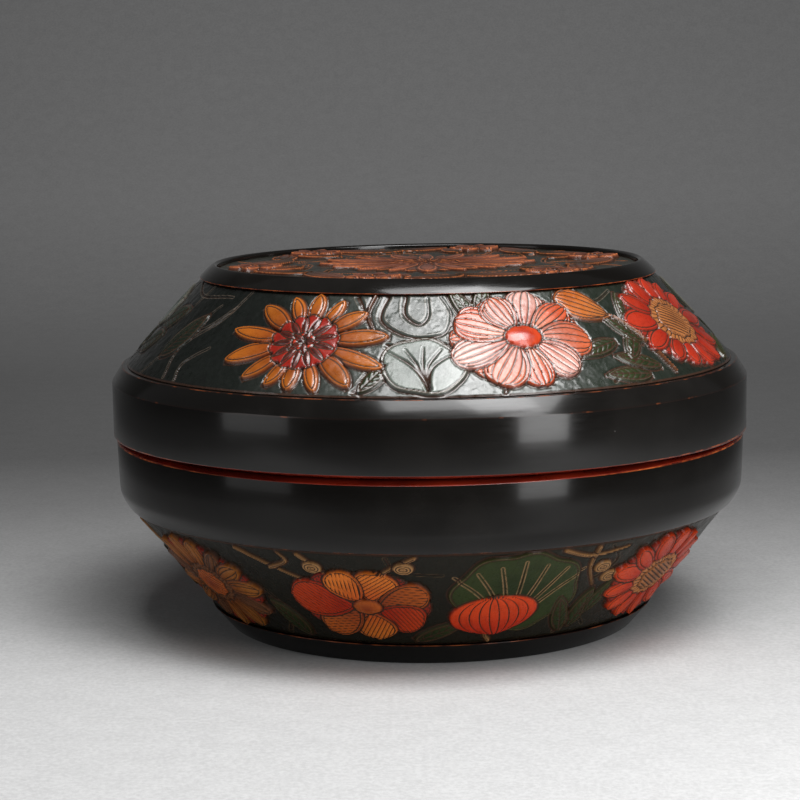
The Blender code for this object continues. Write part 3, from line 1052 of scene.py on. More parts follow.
@dataclass(frozen=True)
class Cord:
    """Stem or groove along a line, given as points round its anchor."""

    points: tuple[Point, ...]
    width: float
    split: float = 0.0
    crown: float = 0.25

    @property
    def reach(self) -> float:
        """Distance from the anchor that the shape stays within."""
        return max(math.hypot(*point) for point in self.points) * 1.25 + self.width + 2.0

    def _smooth(self) -> np.ndarray:
        """Draw a smooth line through the given points.

        Returns:
            Rows of the line's points.
        """
        given = np.array([self.points[0], *self.points, self.points[-1]], float)
        run = np.linspace(0.0, 1.0, 7)[:-1, None]
        rows = []
        for one, two, three, four in zip(given, given[1:], given[2:], given[3:]):
            bow = 2 * one - 5 * two + 4 * three - four
            sway = 3 * two - one - 3 * three + four
            rows.append(0.5 * (2 * two + (three - one) * run + bow * run ** 2 + sway * run ** 3))
        return np.vstack([*rows, given[-1:]])

    def read(self, x: np.ndarray, y: np.ndarray) -> Trace:
        """Trace the shape.

        Args:
            x: Millimetres of each point to the right of its root or middle.
            y: Millimetres above it.

        Returns:
            The trace at each point.
        """
        line = self._smooth()
        near = np.full(len(x), 99.0)
        along = np.zeros(len(x))
        for number, (start, end) in enumerate(zip(line, line[1:])):
            step = end - start
            run = (x - start[0]) * step[0] + (y - start[1]) * step[1]
            run = np.clip(run / max(step @ step, 1e-9), 0.0, 1.0)
            away = np.hypot(x - start[0] - run * step[0], y - start[1] - run * step[1])
            along = np.where(away < near, (number + run) / (len(line) - 1), along)
            near = np.minimum(near, away)
        half = self.width / 2 * (1.0 - 0.5 * along)
        across = np.clip(near / half, 0.0, 1.0)
        cut = self.split * ridge(near, SPLIT_WIDTH)
        return Trace(half - near, along, across, cut, self.crown * (1.0 - across ** 2))


Form = Blade | Disc | Cord


@dataclass(frozen=True)
class Tone:
    """Colours of one kind of motif from root to tip and of its side walls, with how pale its lips are and its
    gloss.

    The dark side-wall colour is painted shade, in part the brown-red of cut edges; the pale lips are partly
    rubbed wear and partly a painted glint.
    """

    root: Colour
    tip: Colour
    # Dark colour of the side walls: painted shade, in part the brown-red of cut edges.
    side: Colour
    lip: float
    gloss: float = 0.0


@dataclass
class Sheet:
    """Fine sheet over a ground on which shapes are carved one over another."""

    ground: ConeBand | RoundTop
    ground_tint_and_painted_light: tuple[tuple[float, Colour], ...]
    level: float
    seed: int

    def __post_init__(self) -> None:
        """Take the blanks of the ground and give them their uneven ground."""
        self.blanks = self.ground.blanks()
        self.azimuth = np.concatenate([blank.azimuth for blank in self.blanks])
        self.share = np.concatenate([blank.share for blank in self.blanks])
        self.random = np.random.default_rng(self.seed)
        count = len(self.azimuth)
        self.rise = np.full(count, self.level)
        self.marks = np.zeros((count, 3))
        self.grain = np.zeros((count, 3))
        # Ground colour by azimuth, repeated every half turn; on the two bands it holds painted light.
        stops = np.array([stop for stop, _ in self.ground_tint_and_painted_light])
        shades = np.array([colour for _, colour in self.ground_tint_and_painted_light])
        around = (self.azimuth + 90.0) % 180.0 - 90.0
        self.tint = np.stack([np.interp(around, stops, shades[:, part]) for part in range(3)], axis=1)
        x, y = self.ground.flat(self.azimuth, self.share, (0.0, 0.0))
        self.grain[:, 0], self.grain[:, 1] = x, y
        spots = self.ground.placed(self.azimuth, self.share, np.zeros(count)) * 1000.0
        coarse, fine = KNIFE_WAVES
        self.knife = np.array([noise.noise(Vector(spot) * coarse) + 0.5 * noise.noise(Vector(spot) * fine)
                               for spot in spots])
        self.rise += KNIFE_RISE * self.knife

    def _near(self, form: Form, at: Point, shift: Point = (0.0, 0.0)) -> Iterator[tuple[np.ndarray, ...]]:
        """Find the vertices near a shape, on each lap of the ground.

        Args:
            form: The shape.
            at: Azimuth and share of its anchor.
            shift: Millimetres to the right and up from the anchor to its root or middle.

        Returns:
            For each lap the numbers of the vertices, and their places round the shape.
        """
        for lap in self.ground.laps if at[1] else (0.0,):
            x, y = self.ground.flat(self.azimuth, self.share, (at[0] + lap, at[1]))
            x, y = x - shift[0], y - shift[1]
            here = np.flatnonzero(x * x + y * y < form.reach ** 2)
            yield here, x[here], y[here]

    def lay(self, form: Form, tone: Tone, at: Point, shift: Point = (0.0, 0.0), turn: float = 0.0,
            height: float = 1.1) -> None:
        """Carve a shape on every lap of the ground.

        Args:
            form: The shape.
            tone: Its colours.
            at: Azimuth and share of its anchor.
            shift: Millimetres to the right and up from the anchor to its root or middle.
            turn: Turn of the shape to the right in degrees.
            height: Height of its rim over the ground's lowest level in millimetres. What stands in the
                middle of the top is carved once.
        """
        value, seed = self.random.random(2)
        cosine, sine = math.cos(math.radians(turn)), math.sin(math.radians(turn))
        for here, x, y in self._near(form, at, shift):
            across, up = x * cosine - y * sine, x * sine + y * cosine
            trace = form.read(across, up)
            self._carve(here, trace, tone, height, 1.0 + UNEVEN * (value - 0.5))
            self.grain[here[trace.depth > 0.0], 2] = seed
            inside = trace.depth > LIFT[0]
            self.grain[here[inside], 0] = across[inside]
            self.grain[here[inside], 1] = up[inside]

    def _carve(self, here: np.ndarray, trace: Trace, tone: Tone, height: float, value: float) -> None:
        """Carve a traced shape into the rows of some vertices.

        Args:
            here: Numbers of the vertices.
            trace: Trace of the shape at them.
            tone: Its colours.
            height: Height of its rim in millimetres.
            value: Brightness of its colours.
        """
        cover = eased(trace.depth, *COVER)
        lift = eased(trace.depth, *LIFT)
        moat = ridge(trace.depth - MOAT_AT, MOAT_WIDTH)
        self.rise[here] = self.rise[here] * (1.0 - lift) + (height + trace.crown) * lift
        self.rise[here] -= MOAT_DEPTH * moat * (1.0 - lift) + CUT_DEPTH * trace.cut * cover
        share = eased(trace.along, *TINT_TURN)[:, None]
        face = (np.array(tone.root) * (1.0 - share) + np.array(tone.tip) * share) * value
        # Side walls blend to the tone's dark side colour: painted shade, in part the brown-red of cut edges.
        wall = (1.0 - eased(trace.depth, *SHADED_WALL))[:, None]
        face = face * (1.0 - wall * WALL_SHADE_SHARE) + np.array(tone.side) * wall * WALL_SHADE_SHARE
        self.tint[here] = self.tint[here] * (1.0 - cover[:, None]) + face * cover[:, None]
        marks = self.marks[here] * (1.0 - cover[:, None])
        marks[:, 0] = np.maximum(np.maximum(marks[:, 0], moat * (1.0 - cover)), trace.cut * cover)
        # Pale lip just inside the outline: partly rubbed wear, partly a painted glint.
        marks[:, 1] += tone.lip * ridge(trace.depth - GLINT_LIP_AT, GLINT_LIP_WIDTH) * cover
        marks[:, 2] += tone.gloss * cover
        self.marks[here] = marks

    def _cord(self, points: tuple[Point, ...], width: float, split: float = 0.0) -> tuple[Cord, Point]:
        """Lay out a cord round the middle one of its points.

        Args:
            points: Its points as (azimuth, share).
            width: Its width in millimetres.
            split: Depth of the cut along its middle.

        Returns:
            The cord, and the point that it is anchored at.
        """
        at = points[len(points) // 2]
        x, y = self.ground.flat(*np.array(points, float).T, at)
        return Cord(tuple(zip(x, y)), width, split), at

    def groove(self, points: tuple[Point, ...], width: float = 1.0, depth: float = 0.45,
               pale: float = 0.5) -> None:
        """Cut a groove into what is there, with pale lips that are partly rubbed wear and partly a painted
        glint.

        Args:
            points: Its points as (azimuth, share).
            width: Its width in millimetres.
            depth: Its depth in millimetres.
            pale: How pale its lips are, as rubbed wear and painted glint.
        """
        cord, at = self._cord(points, width)
        for here, x, y in self._near(cord, at):
            trace = cord.read(x, y)
            dig = eased(trace.depth, -0.15, width / 2)
            # Pale raised lips beside the groove: partly rubbed wear, partly a painted glint.
            lip = pale * ridge(trace.depth - MOAT_AT, GROOVE_GLINT_LIP_WIDTH)
            self.rise[here] -= depth * dig - GROOVE_LIP_RISE * lip
            self.marks[here, 0] = np.maximum(self.marks[here, 0], dig)
            self.marks[here, 1] = np.maximum(self.marks[here, 1], lip)

    def stem(self, points: tuple[Point, ...], width: float, tone: Tone, split: float = 0.0,
             height: float = 0.95) -> None:
        """Carve a raised stem along (azimuth, share) points."""
        cord, at = self._cord(points, width, split)
        self.lay(cord, tone, at, height=height)

    def finish(self, finish: bpy.types.Material, slot: Slot) -> None:
        """Place the vertices, keep the marks, close each piece and hand it over.

        Args:
            finish: Finish of the carving.
            slot: Its material slot.
        """
        width = self.ground.slant / MM
        edge = (1.0 - self.share) * width
        if isinstance(self.ground, ConeBand):
            edge = np.minimum(edge, self.share * width)
        rise = (self.rise + LATE_KNIFE_RISE * self.knife) * eased(edge, *EDGE_SLOPE) * MM
        self.marks[:, 0] = np.maximum(self.marks[:, 0], ridge(edge - EDGE_CUT_AT, EDGE_CUT_WIDTH))
        start = 0
        for blank in self.blanks:
            rows = slice(start, start + len(blank.azimuth))
            start = rows.stop
            lifted = np.where(blank.sunk > 0.0, -blank.sunk, rise[rows])
            mesh = blank.piece.data
            set_places(mesh, self.ground.placed(blank.azimuth, blank.share, lifted))
            for name, values in (("tint", self.tint), ("cut", self.marks), ("grain", self.grain)):
                set_mark(mesh, name, values[rows])
            closed(blank.piece, CARVED_MERGE, 60.0)
            mesh.materials.append(finish)
            handed_over(blank.piece, self.ground.body, slot, self.ground.node)


# Motifs


class Heart(enum.Enum):
    """Kinds of flower hearts."""

    FANS = "fans"
    RIDGES = "ridges"
    BEAD = "bead"


@dataclass(frozen=True)
class Flower:
    """Round flower of back petals, front petals and a heart, measured in millimetres."""

    azimuth: float
    share: float
    heart: Point
    spread: Point
    petals: int
    petal: Blade
    face: tuple[Tone, ...]
    back: Tone | None
    centre: tuple[Tone, ...]
    kind: Heart
    lean: float = 0.0
    raised: float = 0.0

    def carve(self, sheet: Sheet) -> None:
        """Carve the flower.

        Args:
            sheet: Sheet that it is carved in.
        """
        at = (self.azimuth, self.share)
        layers = ((0.5, (self.back,), 0.90, 0.75), (0.0, self.face, 1.0, 1.1))
        for offset, tones, scale, height in layers:
            for number in range(self.petals if tones[0] else 0):
                turn = 360.0 * (number + offset) / self.petals + self.lean
                angle = math.radians(turn)
                root = (self.heart[0] * 0.75 * math.sin(angle), self.heart[1] * 0.75 * math.cos(angle))
                tip = 1.0 / math.hypot(math.sin(angle) / self.spread[0], math.cos(angle) / self.spread[1])
                length = (tip - math.hypot(*root)) * scale * (1.0 + 0.10 * math.sin(number * 5.3))
                width = self.petal.width * (1.0 + 0.12 * math.cos(number * 3.7))
                width *= 0.6 + 0.4 * length / self.spread[1]
                shape = replace(self.petal, length=length, width=width, bend=0.5 * math.sin(number * 2.1))
                sheet.lay(shape, tones[number % len(tones)], at, root, turn, self.raised + height)
        hearts = {Heart.FANS: self._fans, Heart.RIDGES: self._ridges, Heart.BEAD: self._bead}
        hearts[self.kind](sheet, at)

    def _fans(self, sheet: Sheet, at: Point) -> None:
        """Carve a dome with rows of small pointed blades.

        Args:
            sheet: Sheet that it is carved in.
            at: Azimuth and share of its middle.
        """
        wide, tall = self.heart
        dark, light = self.centre
        sheet.lay(Disc(wide, tall, 14, 0.03, crown=0.7), light, at, height=1.0)
        for reach, count, size in ((0.58, 13, 0.62), (0.22, 5, 0.50)):
            for number in range(count):
                turn = 360.0 * (number + reach) / count
                angle = math.radians(turn)
                root = (wide * (reach - 0.22) * math.sin(angle), tall * (reach - 0.22) * math.cos(angle))
                blade = Blade(tall * size, wide * 0.13, 0.7, 1.0, crown=0.1)
                sheet.lay(blade, dark, at, root, turn, 1.55 + 0.15 * (reach < 0.5))

    def _ridges(self, sheet: Sheet, at: Point) -> None:
        """Carve an oval of fine rays round a hatched one.

        Args:
            sheet: Sheet that it is carved in.
            at: Azimuth and share of its middle.
        """
        wide, tall = self.heart
        height = self.raised + 1.15
        sheet.lay(Disc(wide, tall, 15, 0.04, rays=34, crown=0.5), self.centre[0], at, height=height)
        inner = Disc(wide * 0.72, tall * 0.72, 9, 0.05, hatch=1.5, crown=0.4)
        sheet.lay(inner, self.centre[-1], at, height=height + 0.35)

    def _bead(self, sheet: Sheet, at: Point) -> None:
        """Carve a smooth bead."""
        sheet.lay(Disc(*self.heart, crown=1.1), self.centre[0], at, height=self.raised + 1.2)


# Carved bands and top

BLADE = Blade(18.0, 9.0, contour=0.9, veins=2.6)
BLACK_GREEN = Tone((0.008, 0.014, 0.007), (0.013, 0.020, 0.010), (0.010, 0.008, 0.005), lip=0.6)
LEAF_GREEN = Tone((0.013, 0.022, 0.005), (0.023, 0.034, 0.008), (0.03, 0.016, 0.006), lip=0.5)
SEA_GREEN = Tone((0.06, 0.078, 0.064), (0.12, 0.14, 0.12), (0.035, 0.022, 0.014), lip=0.7, gloss=0.4)
COPPER = Tone((0.24, 0.080, 0.026), (0.34, 0.125, 0.045), (0.06, 0.018, 0.008), lip=0.7)
TAN = Tone((0.30, 0.15, 0.055), (0.40, 0.21, 0.08), (0.09, 0.035, 0.012), lip=0.5)
HONEY = Tone((0.26, 0.088, 0.024), (0.38, 0.135, 0.038), (0.09, 0.030, 0.010), lip=0.5)
UMBER = Tone((0.10, 0.035, 0.014), (0.16, 0.060, 0.022), (0.05, 0.015, 0.008), lip=0.4)
OCHRE = Tone((0.20, 0.050, 0.008), (0.34, 0.115, 0.018), (0.06, 0.012, 0.006), lip=0.3)
ORANGE = Tone((0.27, 0.055, 0.006), (0.41, 0.110, 0.008), (0.10, 0.014, 0.005), lip=0.35)
FLAME = Tone((0.50, 0.085, 0.012), (0.66, 0.170, 0.022), (0.14, 0.018, 0.006), lip=0.3)
EMBER = Tone((0.26, 0.045, 0.010), (0.42, 0.090, 0.014), (0.07, 0.012, 0.006), lip=0.3)
RED = Tone((0.28, 0.014, 0.005), (0.38, 0.026, 0.008), (0.12, 0.008, 0.004), lip=0.4)
SCARLET = Tone((0.38, 0.020, 0.005), (0.52, 0.046, 0.008), (0.14, 0.009, 0.004), lip=0.3)
DEEP_RED = Tone((0.16, 0.012, 0.006), (0.26, 0.020, 0.009), (0.06, 0.008, 0.004), lip=0.3)
PLUM = Tone((0.050, 0.012, 0.008), (0.095, 0.022, 0.014), (0.03, 0.006, 0.005), lip=0.15)
RUBY = Tone((0.44, 0.028, 0.006), (0.26, 0.012, 0.005), (0.08, 0.008, 0.005), lip=0.2)
PINK = Tone((0.38, 0.10, 0.065), (0.52, 0.25, 0.20), (0.16, 0.020, 0.012), lip=0.5)
ROSE = Tone((0.46, 0.16, 0.11), (0.46, 0.090, 0.030), (0.16, 0.020, 0.010), lip=0.4)
SALMON = Tone((0.52, 0.20, 0.13), (0.46, 0.065, 0.016), (0.18, 0.024, 0.010), lip=0.3)
PEACH = Tone((0.40, 0.13, 0.030), (0.54, 0.13, 0.014), (0.14, 0.030, 0.010), lip=0.6)


def leaf(sheet: Sheet, form: Blade, tone: Tone, azimuth: float, share: float, turn: float,
         height: float = 0.95) -> None:
    """Carve a leaf round its middle.

    Args:
        sheet: Sheet that it is carved in.
        form: Its shape.
        tone: Its colours.
        azimuth: Azimuth of its middle in degrees.
        share: Share of its middle.
        turn: Turn to the right in degrees.
        height: Height of its rim.
    """
    angle = math.radians(turn)
    half = form.length / 2
    root = (-half * math.sin(angle), -half * math.cos(angle))
    sheet.lay(form, tone, (azimuth, share), root, turn, height)


@dataclass(frozen=True)
class LidBand:
    """Carved band on the lid: orange, pink and red flowers with leaves, a pod and stems, twice round."""

    ground: ConeBand
    # Ground colour round the band: a painted sheen, pale silver-green at the front and near black at the
    # sides.
    ground_tint_and_painted_light: tuple[tuple[float, Colour], ...] = (
        (-90.0, (0.005, 0.006, 0.005)), (-36.0, (0.006, 0.008, 0.006)), (-14.0, (0.040, 0.047, 0.040)),
        (8.0, (0.060, 0.068, 0.058)), (32.0, (0.013, 0.019, 0.012)), (90.0, (0.005, 0.006, 0.005)))
    flowers: tuple[Flower, ...] = (
        Flower(-25.0, 0.50, (12.5, 11.0), (31.0, 20.8), 14, Blade(12.0, 7.0, 0.55, 0.55, contour=1.3),
               (ORANGE,), None, (PLUM, RUBY), Heart.FANS),
        Flower(62.0, 0.52, (13.0, 10.5), (29.0, 20.8), 13, Blade(12.0, 9.0, 0.6, 0.5, contour=1.2),
               (RED,), DEEP_RED, (HONEY,), Heart.RIDGES, 6.0),
        Flower(19.0, 0.54, (6.4, 4.6), (27.0, 19.6), 9, Blade(14.0, 13.5, 0.75, 0.42, contour=1.0, ribs=4),
               (PINK, SALMON, ROSE), ROSE, (SCARLET,), Heart.BEAD, 15.0),
    )

    def build(self) -> None:
        """Carve the band and dress it."""
        sheet = Sheet(self.ground, self.ground_tint_and_painted_light, level=0.30, seed=11)
        for points in (((-92, .30), (-84, .62), (-80, .96)), ((-88, .08), (-80, .34), (-70, .52)),
                       ((-56, .04), (-58, .34), (-50, .66), (-46, .97)),
                       ((-52, .03), (-53, .20), (-48, .38)),
                       ((-76, .98), (-66, .86), (-52, .90)), ((-62, .50), (-54, .56), (-48, .80)),
                       ((-9, .98), (-10, .74), (-4, .58), (3, .60), (5, .80), (3, .97)),
                       ((-5, .97), (-5, .80), (-2, .70), (0, .78), (0, .96)),
                       ((-13, .04), (-11, .26), (-13, .44)), ((13, .03), (15, .22), (12, .34)),
                       ((36, .97), (40, .84), (47, .93)), ((34, .05), (40, .14), (47, .12)),
                       ((-16, .97), (-14, .80), (-17, .66), (-13, .52)), ((7, .60), (9, .80), (8, .97)),
                       ((-8, .50), (-4, .46), (4, .50), (8, .44)), ((11, .97), (13, .84), (18, .80)),
                       ((-84, .04), (-78, .30), (-68, .70), (-64, .97)),
                       ((-66, .03), (-62, .34), (-54, .80)),
                       ((78, .50), (82, .70), (80, .95)), ((76, .05), (80, .25), (84, .45))):
            broad = abs(points[0][0]) < 19
            sheet.groove(points, 2.6 if broad else 0.9, 0.55, 0.6)
        for azimuth, share, turn, size in ((-60, .46, 32, 1.3), (-73, .60, 60, 1.1), (92, .30, -60, 1.0),
                                           (104, .32, 60, 1.0), (84, .74, 25, 0.8)):
            form = replace(BLADE, length=19.0 * size, width=11.5)
            leaf(sheet, form, BLACK_GREEN, azimuth, share, turn, 0.6)
        slim = replace(BLADE, length=20.0, width=6.6)
        for azimuth, share, turn in ((34, .38, -104), (42, .22, -70), (-9, .22, 38), (44, .42, 40),
                                     (38, .10, -84), (47, .68, 10), (43, .56, -40), (12, .90, 12),
                                     (8, .86, -30), (77, .16, 60)):
            leaf(sheet, slim, LEAF_GREEN, azimuth, share, turn)
        for azimuth, share, turn, wide, tall in ((-1, .29, 12, 14.8, 11.6), (93, .66, -150, 12.3, 9.7)):
            round_leaf = Disc(wide, tall, 5, 0.035, contour=1.1, crown=0.15)
            sheet.lay(round_leaf, SEA_GREEN, (azimuth, share), turn=turn)
            for step in range(-2, 3):
                away, lap = 3.4 * step, 1.0 - 0.10 * abs(step)
                sheet.groove(((azimuth + 1, share - .22), (azimuth + away * 0.25, share - .02),
                              (azimuth + away, share + .17 * lap)), 2.4, 0.5, 0.4)
        sheet.stem(((24, .74), (32, .80), (41, .70), (47, .42), (50, .06)), 1.7, COPPER, height=1.7)
        sheet.stem(((22, .70), (29, .76), (34, .88)), 1.6, TAN)
        sheet.stem(((-12, .98), (-13, .80), (-11, .62)), 1.5, UMBER, 0.8)
        leaf(sheet, Blade(22.0, 13.0, 0.8, 0.5, contour=0.8, ribs=5), PEACH, 36, .80, -62)
        for flower in self.flowers:
            flower.carve(sheet)
        sheet.finish(CarvedLacquer("lid_carving").made(), Slot.CARVED)


@dataclass(frozen=True)
class BaseBand:
    """Carved band under the base: brown, flame and red flowers, a large leaf and a bud, twice round."""

    ground: ConeBand
    # Ground colour round the band: painted light, lighter at the front and right and darkest at the sides.
    ground_tint_and_painted_light: tuple[tuple[float, Colour], ...] = (
        (-90.0, (0.008, 0.007, 0.004)), (0.0, (0.011, 0.010, 0.006)), (40.0, (0.014, 0.012, 0.007)),
        (90.0, (0.008, 0.007, 0.004)))
    flowers: tuple[Flower, ...] = (
        Flower(-52.0, 0.50, (10.5, 9.0), (26.6, 22.0), 13, Blade(12.0, 9.0, 0.6, 0.5, contour=1.2, ribs=2),
               (OCHRE, UMBER, OCHRE), DEEP_RED, (UMBER, EMBER), Heart.RIDGES, 10.0, 0.6),
        Flower(53.0, 0.52, (12.0, 9.5), (26.6, 22.0), 13, Blade(12.0, 9.0, 0.6, 0.5, contour=1.2),
               (SCARLET,), DEEP_RED, (HONEY,), Heart.RIDGES, 4.0, 0.6),
        Flower(-13.0, 0.45, (5.0, 3.8), (25.6, 18.0), 7,
               Blade(14.0, 15.0, 0.8, 0.45, contour=1.0, hatch=2.6),
               (FLAME, EMBER, SCARLET), DEEP_RED, (EMBER,), Heart.BEAD, 20.0, 0.2),
    )

    def build(self) -> None:
        """Carve the band and dress it."""
        sheet = Sheet(self.ground, self.ground_tint_and_painted_light, level=0.35, seed=17)
        for points in (((-90, .10), (-84, .40), (-86, .80)), ((-36, .05), (-33, .30), (-36, .52)),
                       ((-8, .96), (-6, .82), (2, .78)), ((33, .60), (37, .78), (34, .96)),
                       ((30, .05), (34, .20), (38, .08)), ((70, .30), (74, .60), (72, .94))):
            sheet.groove(points, 1.2)
        sheet.lay(Disc(23.5, 20.5, 7, 0.045, contour=1.2, crown=0.1), LEAF_GREEN, (17, .56), turn=10)
        for step in range(-3, 4):
            away = 4.3 * step
            vein = ((16, .20), (17 + away * 0.6, .56), (17 + away, .90 - 0.05 * abs(step)))
            sheet.groove(vein, 0.8, 0.4, 1.0)
        for azimuth, share, turn, wide in ((34, .30, 8, 8.0), (84, .55, 20, 9.0), (92, .60, 70, 13.0),
                                           (102, .40, -50, 13.0), (-80, .45, -150, 9.0),
                                           (-33, .24, -30, 8.0), (38, .42, 24, 7.0), (29, .26, -18, 7.0),
                                           (2, .16, 60, 6.5)):
            form = replace(BLADE, length=21.0, width=wide, veins=3.0)
            leaf(sheet, form, LEAF_GREEN, azimuth, share, turn)
        for points in (((-37, .97), (-30, .80), (-20, .60)), ((-24, .97), (-20, .78), (-17, .62)),
                       ((-3, .97), (-9, .80), (-12, .62)), ((-31, .80), (-27, .88), (-28, .97)),
                       ((13, .04), (12, .10), (12, .18)), ((31, .96), (31, .76), (34, .54)),
                       ((24, .97), (30, .88), (38, .92)), ((-72, .96), (-68, .80), (-60, .70)),
                       ((80, .96), (86, .80), (84, .66))):
            sheet.stem(points, 1.9, TAN, 0.9)
        for azimuth, share in ((-22, .84), (-5, .86), (34, .74), (37, .62)):
            sheet.lay(Disc(3.6, 3.0, rings=1.1, crown=0.2), TAN, (azimuth, share))
        for flower in self.flowers:
            flower.carve(sheet)
        leaf(sheet, Blade(20.0, 31.0, 0.5, 0.5, ribs=8, crown=0.9), SCARLET, 13, .34, -8, 1.3)
        finish = CarvedLacquer("base_carving", line=(0.26, 0.15, 0.07), grime=0.30, specular=0.10, coat=0.03)
        sheet.finish(finish.made(), Slot.CARVED)


@dataclass(frozen=True)
class TopMedallion:
    """Carved round top: one large flower within leaves and small blossoms, low and worn."""

    ground: RoundTop
    petals: Tone = Tone((0.075, 0.020, 0.010), (0.22, 0.070, 0.038), (0.03, 0.008, 0.005), lip=0.8)
    leaves: Tone = Tone((0.030, 0.016, 0.008), (0.11, 0.036, 0.018), (0.03, 0.008, 0.005), lip=0.8)
    plain: Colour = (0.014, 0.014, 0.009)

    def build(self) -> None:
        """Carve the top and dress it."""
        sheet = Sheet(self.ground, ((0.0, self.plain),), level=0.5, seed=23)
        for points in (((0, .52), (14, .64), (30, .56), (48, .60)), ((8, .66), (18, .82), (14, .96)),
                       ((30, .60), (34, .78), (30, .95)), ((52, .62), (48, .72), (56, .92))):
            sheet.groove(points, 1.2, 0.5, 0.9)
        for azimuth, share, turn, size in ((24, .78, -60, 1.0), (2, .80, 64, 0.8), (50, .70, -30, 0.6)):
            form = Blade(31.0 * size, 13.0 * size, contour=1.2, ribs=2, crown=0.5)
            leaf(sheet, form, self.leaves, azimuth, share, turn, 1.2)
        petal = Blade(9.0, 6.5, contour=1.0, crown=0.4)
        for turn in range(0, 360, 60):
            root = (1.5 * math.sin(math.radians(turn)), 1.5 * math.cos(math.radians(turn)))
            sheet.lay(petal, self.petals, (43, .83), root, turn, 1.9)
        Flower(0.0, 0.0, (11.0, 11.0), (39.0, 39.0), 16, Blade(24.0, 7.5, 0.6, 0.6, contour=1.4, crown=0.5),
               (self.petals,), self.leaves, (self.leaves, self.petals), Heart.FANS).carve(sheet)
        finish = CarvedLacquer("top_carving", line=(0.50, 0.15, 0.05), specular=0.2, coat=0.15)
        sheet.finish(finish.made(), Slot.TOP)


# The black and red turned work


@dataclass(frozen=True)
class Sides:
    """Edges of the two cones, read from the black rings beside them as (radius, height)."""

    lid_lower: Point
    lid_upper: Point
    base_lower: Point
    base_upper: Point

    @classmethod
    def read(cls) -> "Sides":
        """Read the edges from the frame."""
        return cls(cls._edge("lid_side_ring", max), cls._edge("lid_top_rim", min),
                   cls._edge("foot_ring", max), cls._edge("base_side_ring", min))

    @staticmethod
    def _edge(node: str, end: Callable[..., float]) -> Point:
        """Find the outer edge of a node's top or bottom face.

        Args:
            node: Name of the node.
            end: Picks the face's height out of the heights of all points.

        Returns:
            Radius and height of the edge.
        """
        points = Section.of(node).points
        level = end(height for _, height in points)
        return max(point for point in points if point[1] == level)


@dataclass(frozen=True)
class BoxTurnings:
    """The turned black rings, the red boards and the red lip."""

    sides: Sides
    gape: Gape = Gape()

    def build(self) -> None:
        """Make every turned piece and dress it."""
        sides = self.sides
        red = RedLacquer("red_inside").made()
        lid_wall = Section.of("lid_side_ring").corners(20.0, 180.0)
        widest = max(radius for radius, _ in lid_wall)
        arrises = sorted((point for point in lid_wall if point[0] == widest), key=lambda point: point[1])
        lid_arris, wall_top = arrises[0], arrises[-1]
        base_arris = max(Section.of("base_side_ring").points)
        lid_worn = (WornArris(*sides.lid_lower, 0.34 * MM, 0.45), WornArris(*wall_top, 0.34 * MM, 0.22),
                    WornArris(*lid_arris, 0.30 * MM, 0.9))
        base_worn = (WornArris(*sides.base_upper, 0.5 * MM, 0.35), WornArris(*base_arris, 0.45 * MM, 1.0))
        rim_worn = (WornArris(*sides.lid_upper, 0.45 * MM, 1.0),)
        foot_worn = (WornArris(*sides.base_lower, 0.5 * MM, 0.6),)
        black_lid = BlackLacquer("black_lid", lid_worn).made()
        black_base = BlackLacquer("black_base", base_worn, specular=0.2, coat=0.1).made()
        black_rim = BlackLacquer("black_rim", rim_worn, roughness=0.13).made()
        black_foot = BlackLacquer("black_foot", foot_worn, specular=0.15, coat=0.05).made()
        gape = self.gape
        for node, body, finish, arris, opened, shut, mouth in (
                ("lid_side_ring", Body.LID, black_lid, lid_arris, gape.lid_lift, -gape.lid_close, -1.0),
                ("base_side_ring", Body.BASE, black_base, base_arris, -gape.base_drop, gape.base_close, 1.0)):
            wall = Turning(node, body, Slot.BLACK)
            piece = wall.build()
            gape.move(piece, arris, opened, shut)
            wall.dress(piece, finish, red, lambda r, z, out: out.x < -0.2 or (
                out.y * mouth > 0.3 and (z - arris[1]) * mouth > -MM))
        for node, body, finish, slot in (("foot_ring", Body.BASE, black_foot, Slot.BLACK),
                                         ("lid_top_rim", Body.LID, black_rim, Slot.BLACK),
                                         ("base_cone_ring", Body.BASE, red, Slot.RED),
                                         ("lid_shoulder_ring", Body.LID, red, Slot.RED),
                                         ("base_lip_ring", Body.BASE, red, Slot.RED),
                                         ("lid_top_board", Body.LID, red, Slot.RED)):
            ring = Turning(node, body, slot)
            ring.dress(ring.build(), finish)
        floor = Turning("base_floor_board", Body.BASE, Slot.RED)
        floor.dress(floor.build(), red, black_foot, lambda r, z, out: out.y < -0.5)


# The studio


@dataclass(frozen=True)
class SoftBox:
    """Soft lamp at an azimuth and an elevation in degrees round the box that looks at a target."""

    name: str
    azimuth: float
    elevation: float
    distance: float
    size: Point
    power: float
    base: float = 0.07
    target: Place = (0.0, 0.0, 0.07)
    roll: float = 0.0

    def build(self) -> None:
        """Make the lamp."""
        lamp = bpy.data.lights.new(self.name, "AREA")
        lamp.shape = "RECTANGLE"
        lamp.size, lamp.size_y = self.size
        lamp.energy = self.power
        turn, rise = math.radians(self.azimuth), math.radians(self.elevation)
        away = Vector((math.sin(turn) * math.cos(rise), -math.cos(turn) * math.cos(rise), math.sin(rise)))
        holder = bpy.data.objects.new(self.name, lamp)
        holder.location = away * self.distance + Vector((0.0, 0.0, self.base))
        facing = (holder.location - Vector(self.target)).to_track_quat("Z", "Y").to_matrix()
        holder.rotation_euler = (facing @ Matrix.Rotation(math.radians(self.roll), 3, "Z")).to_euler()
        bpy.context.collection.objects.link(holder)


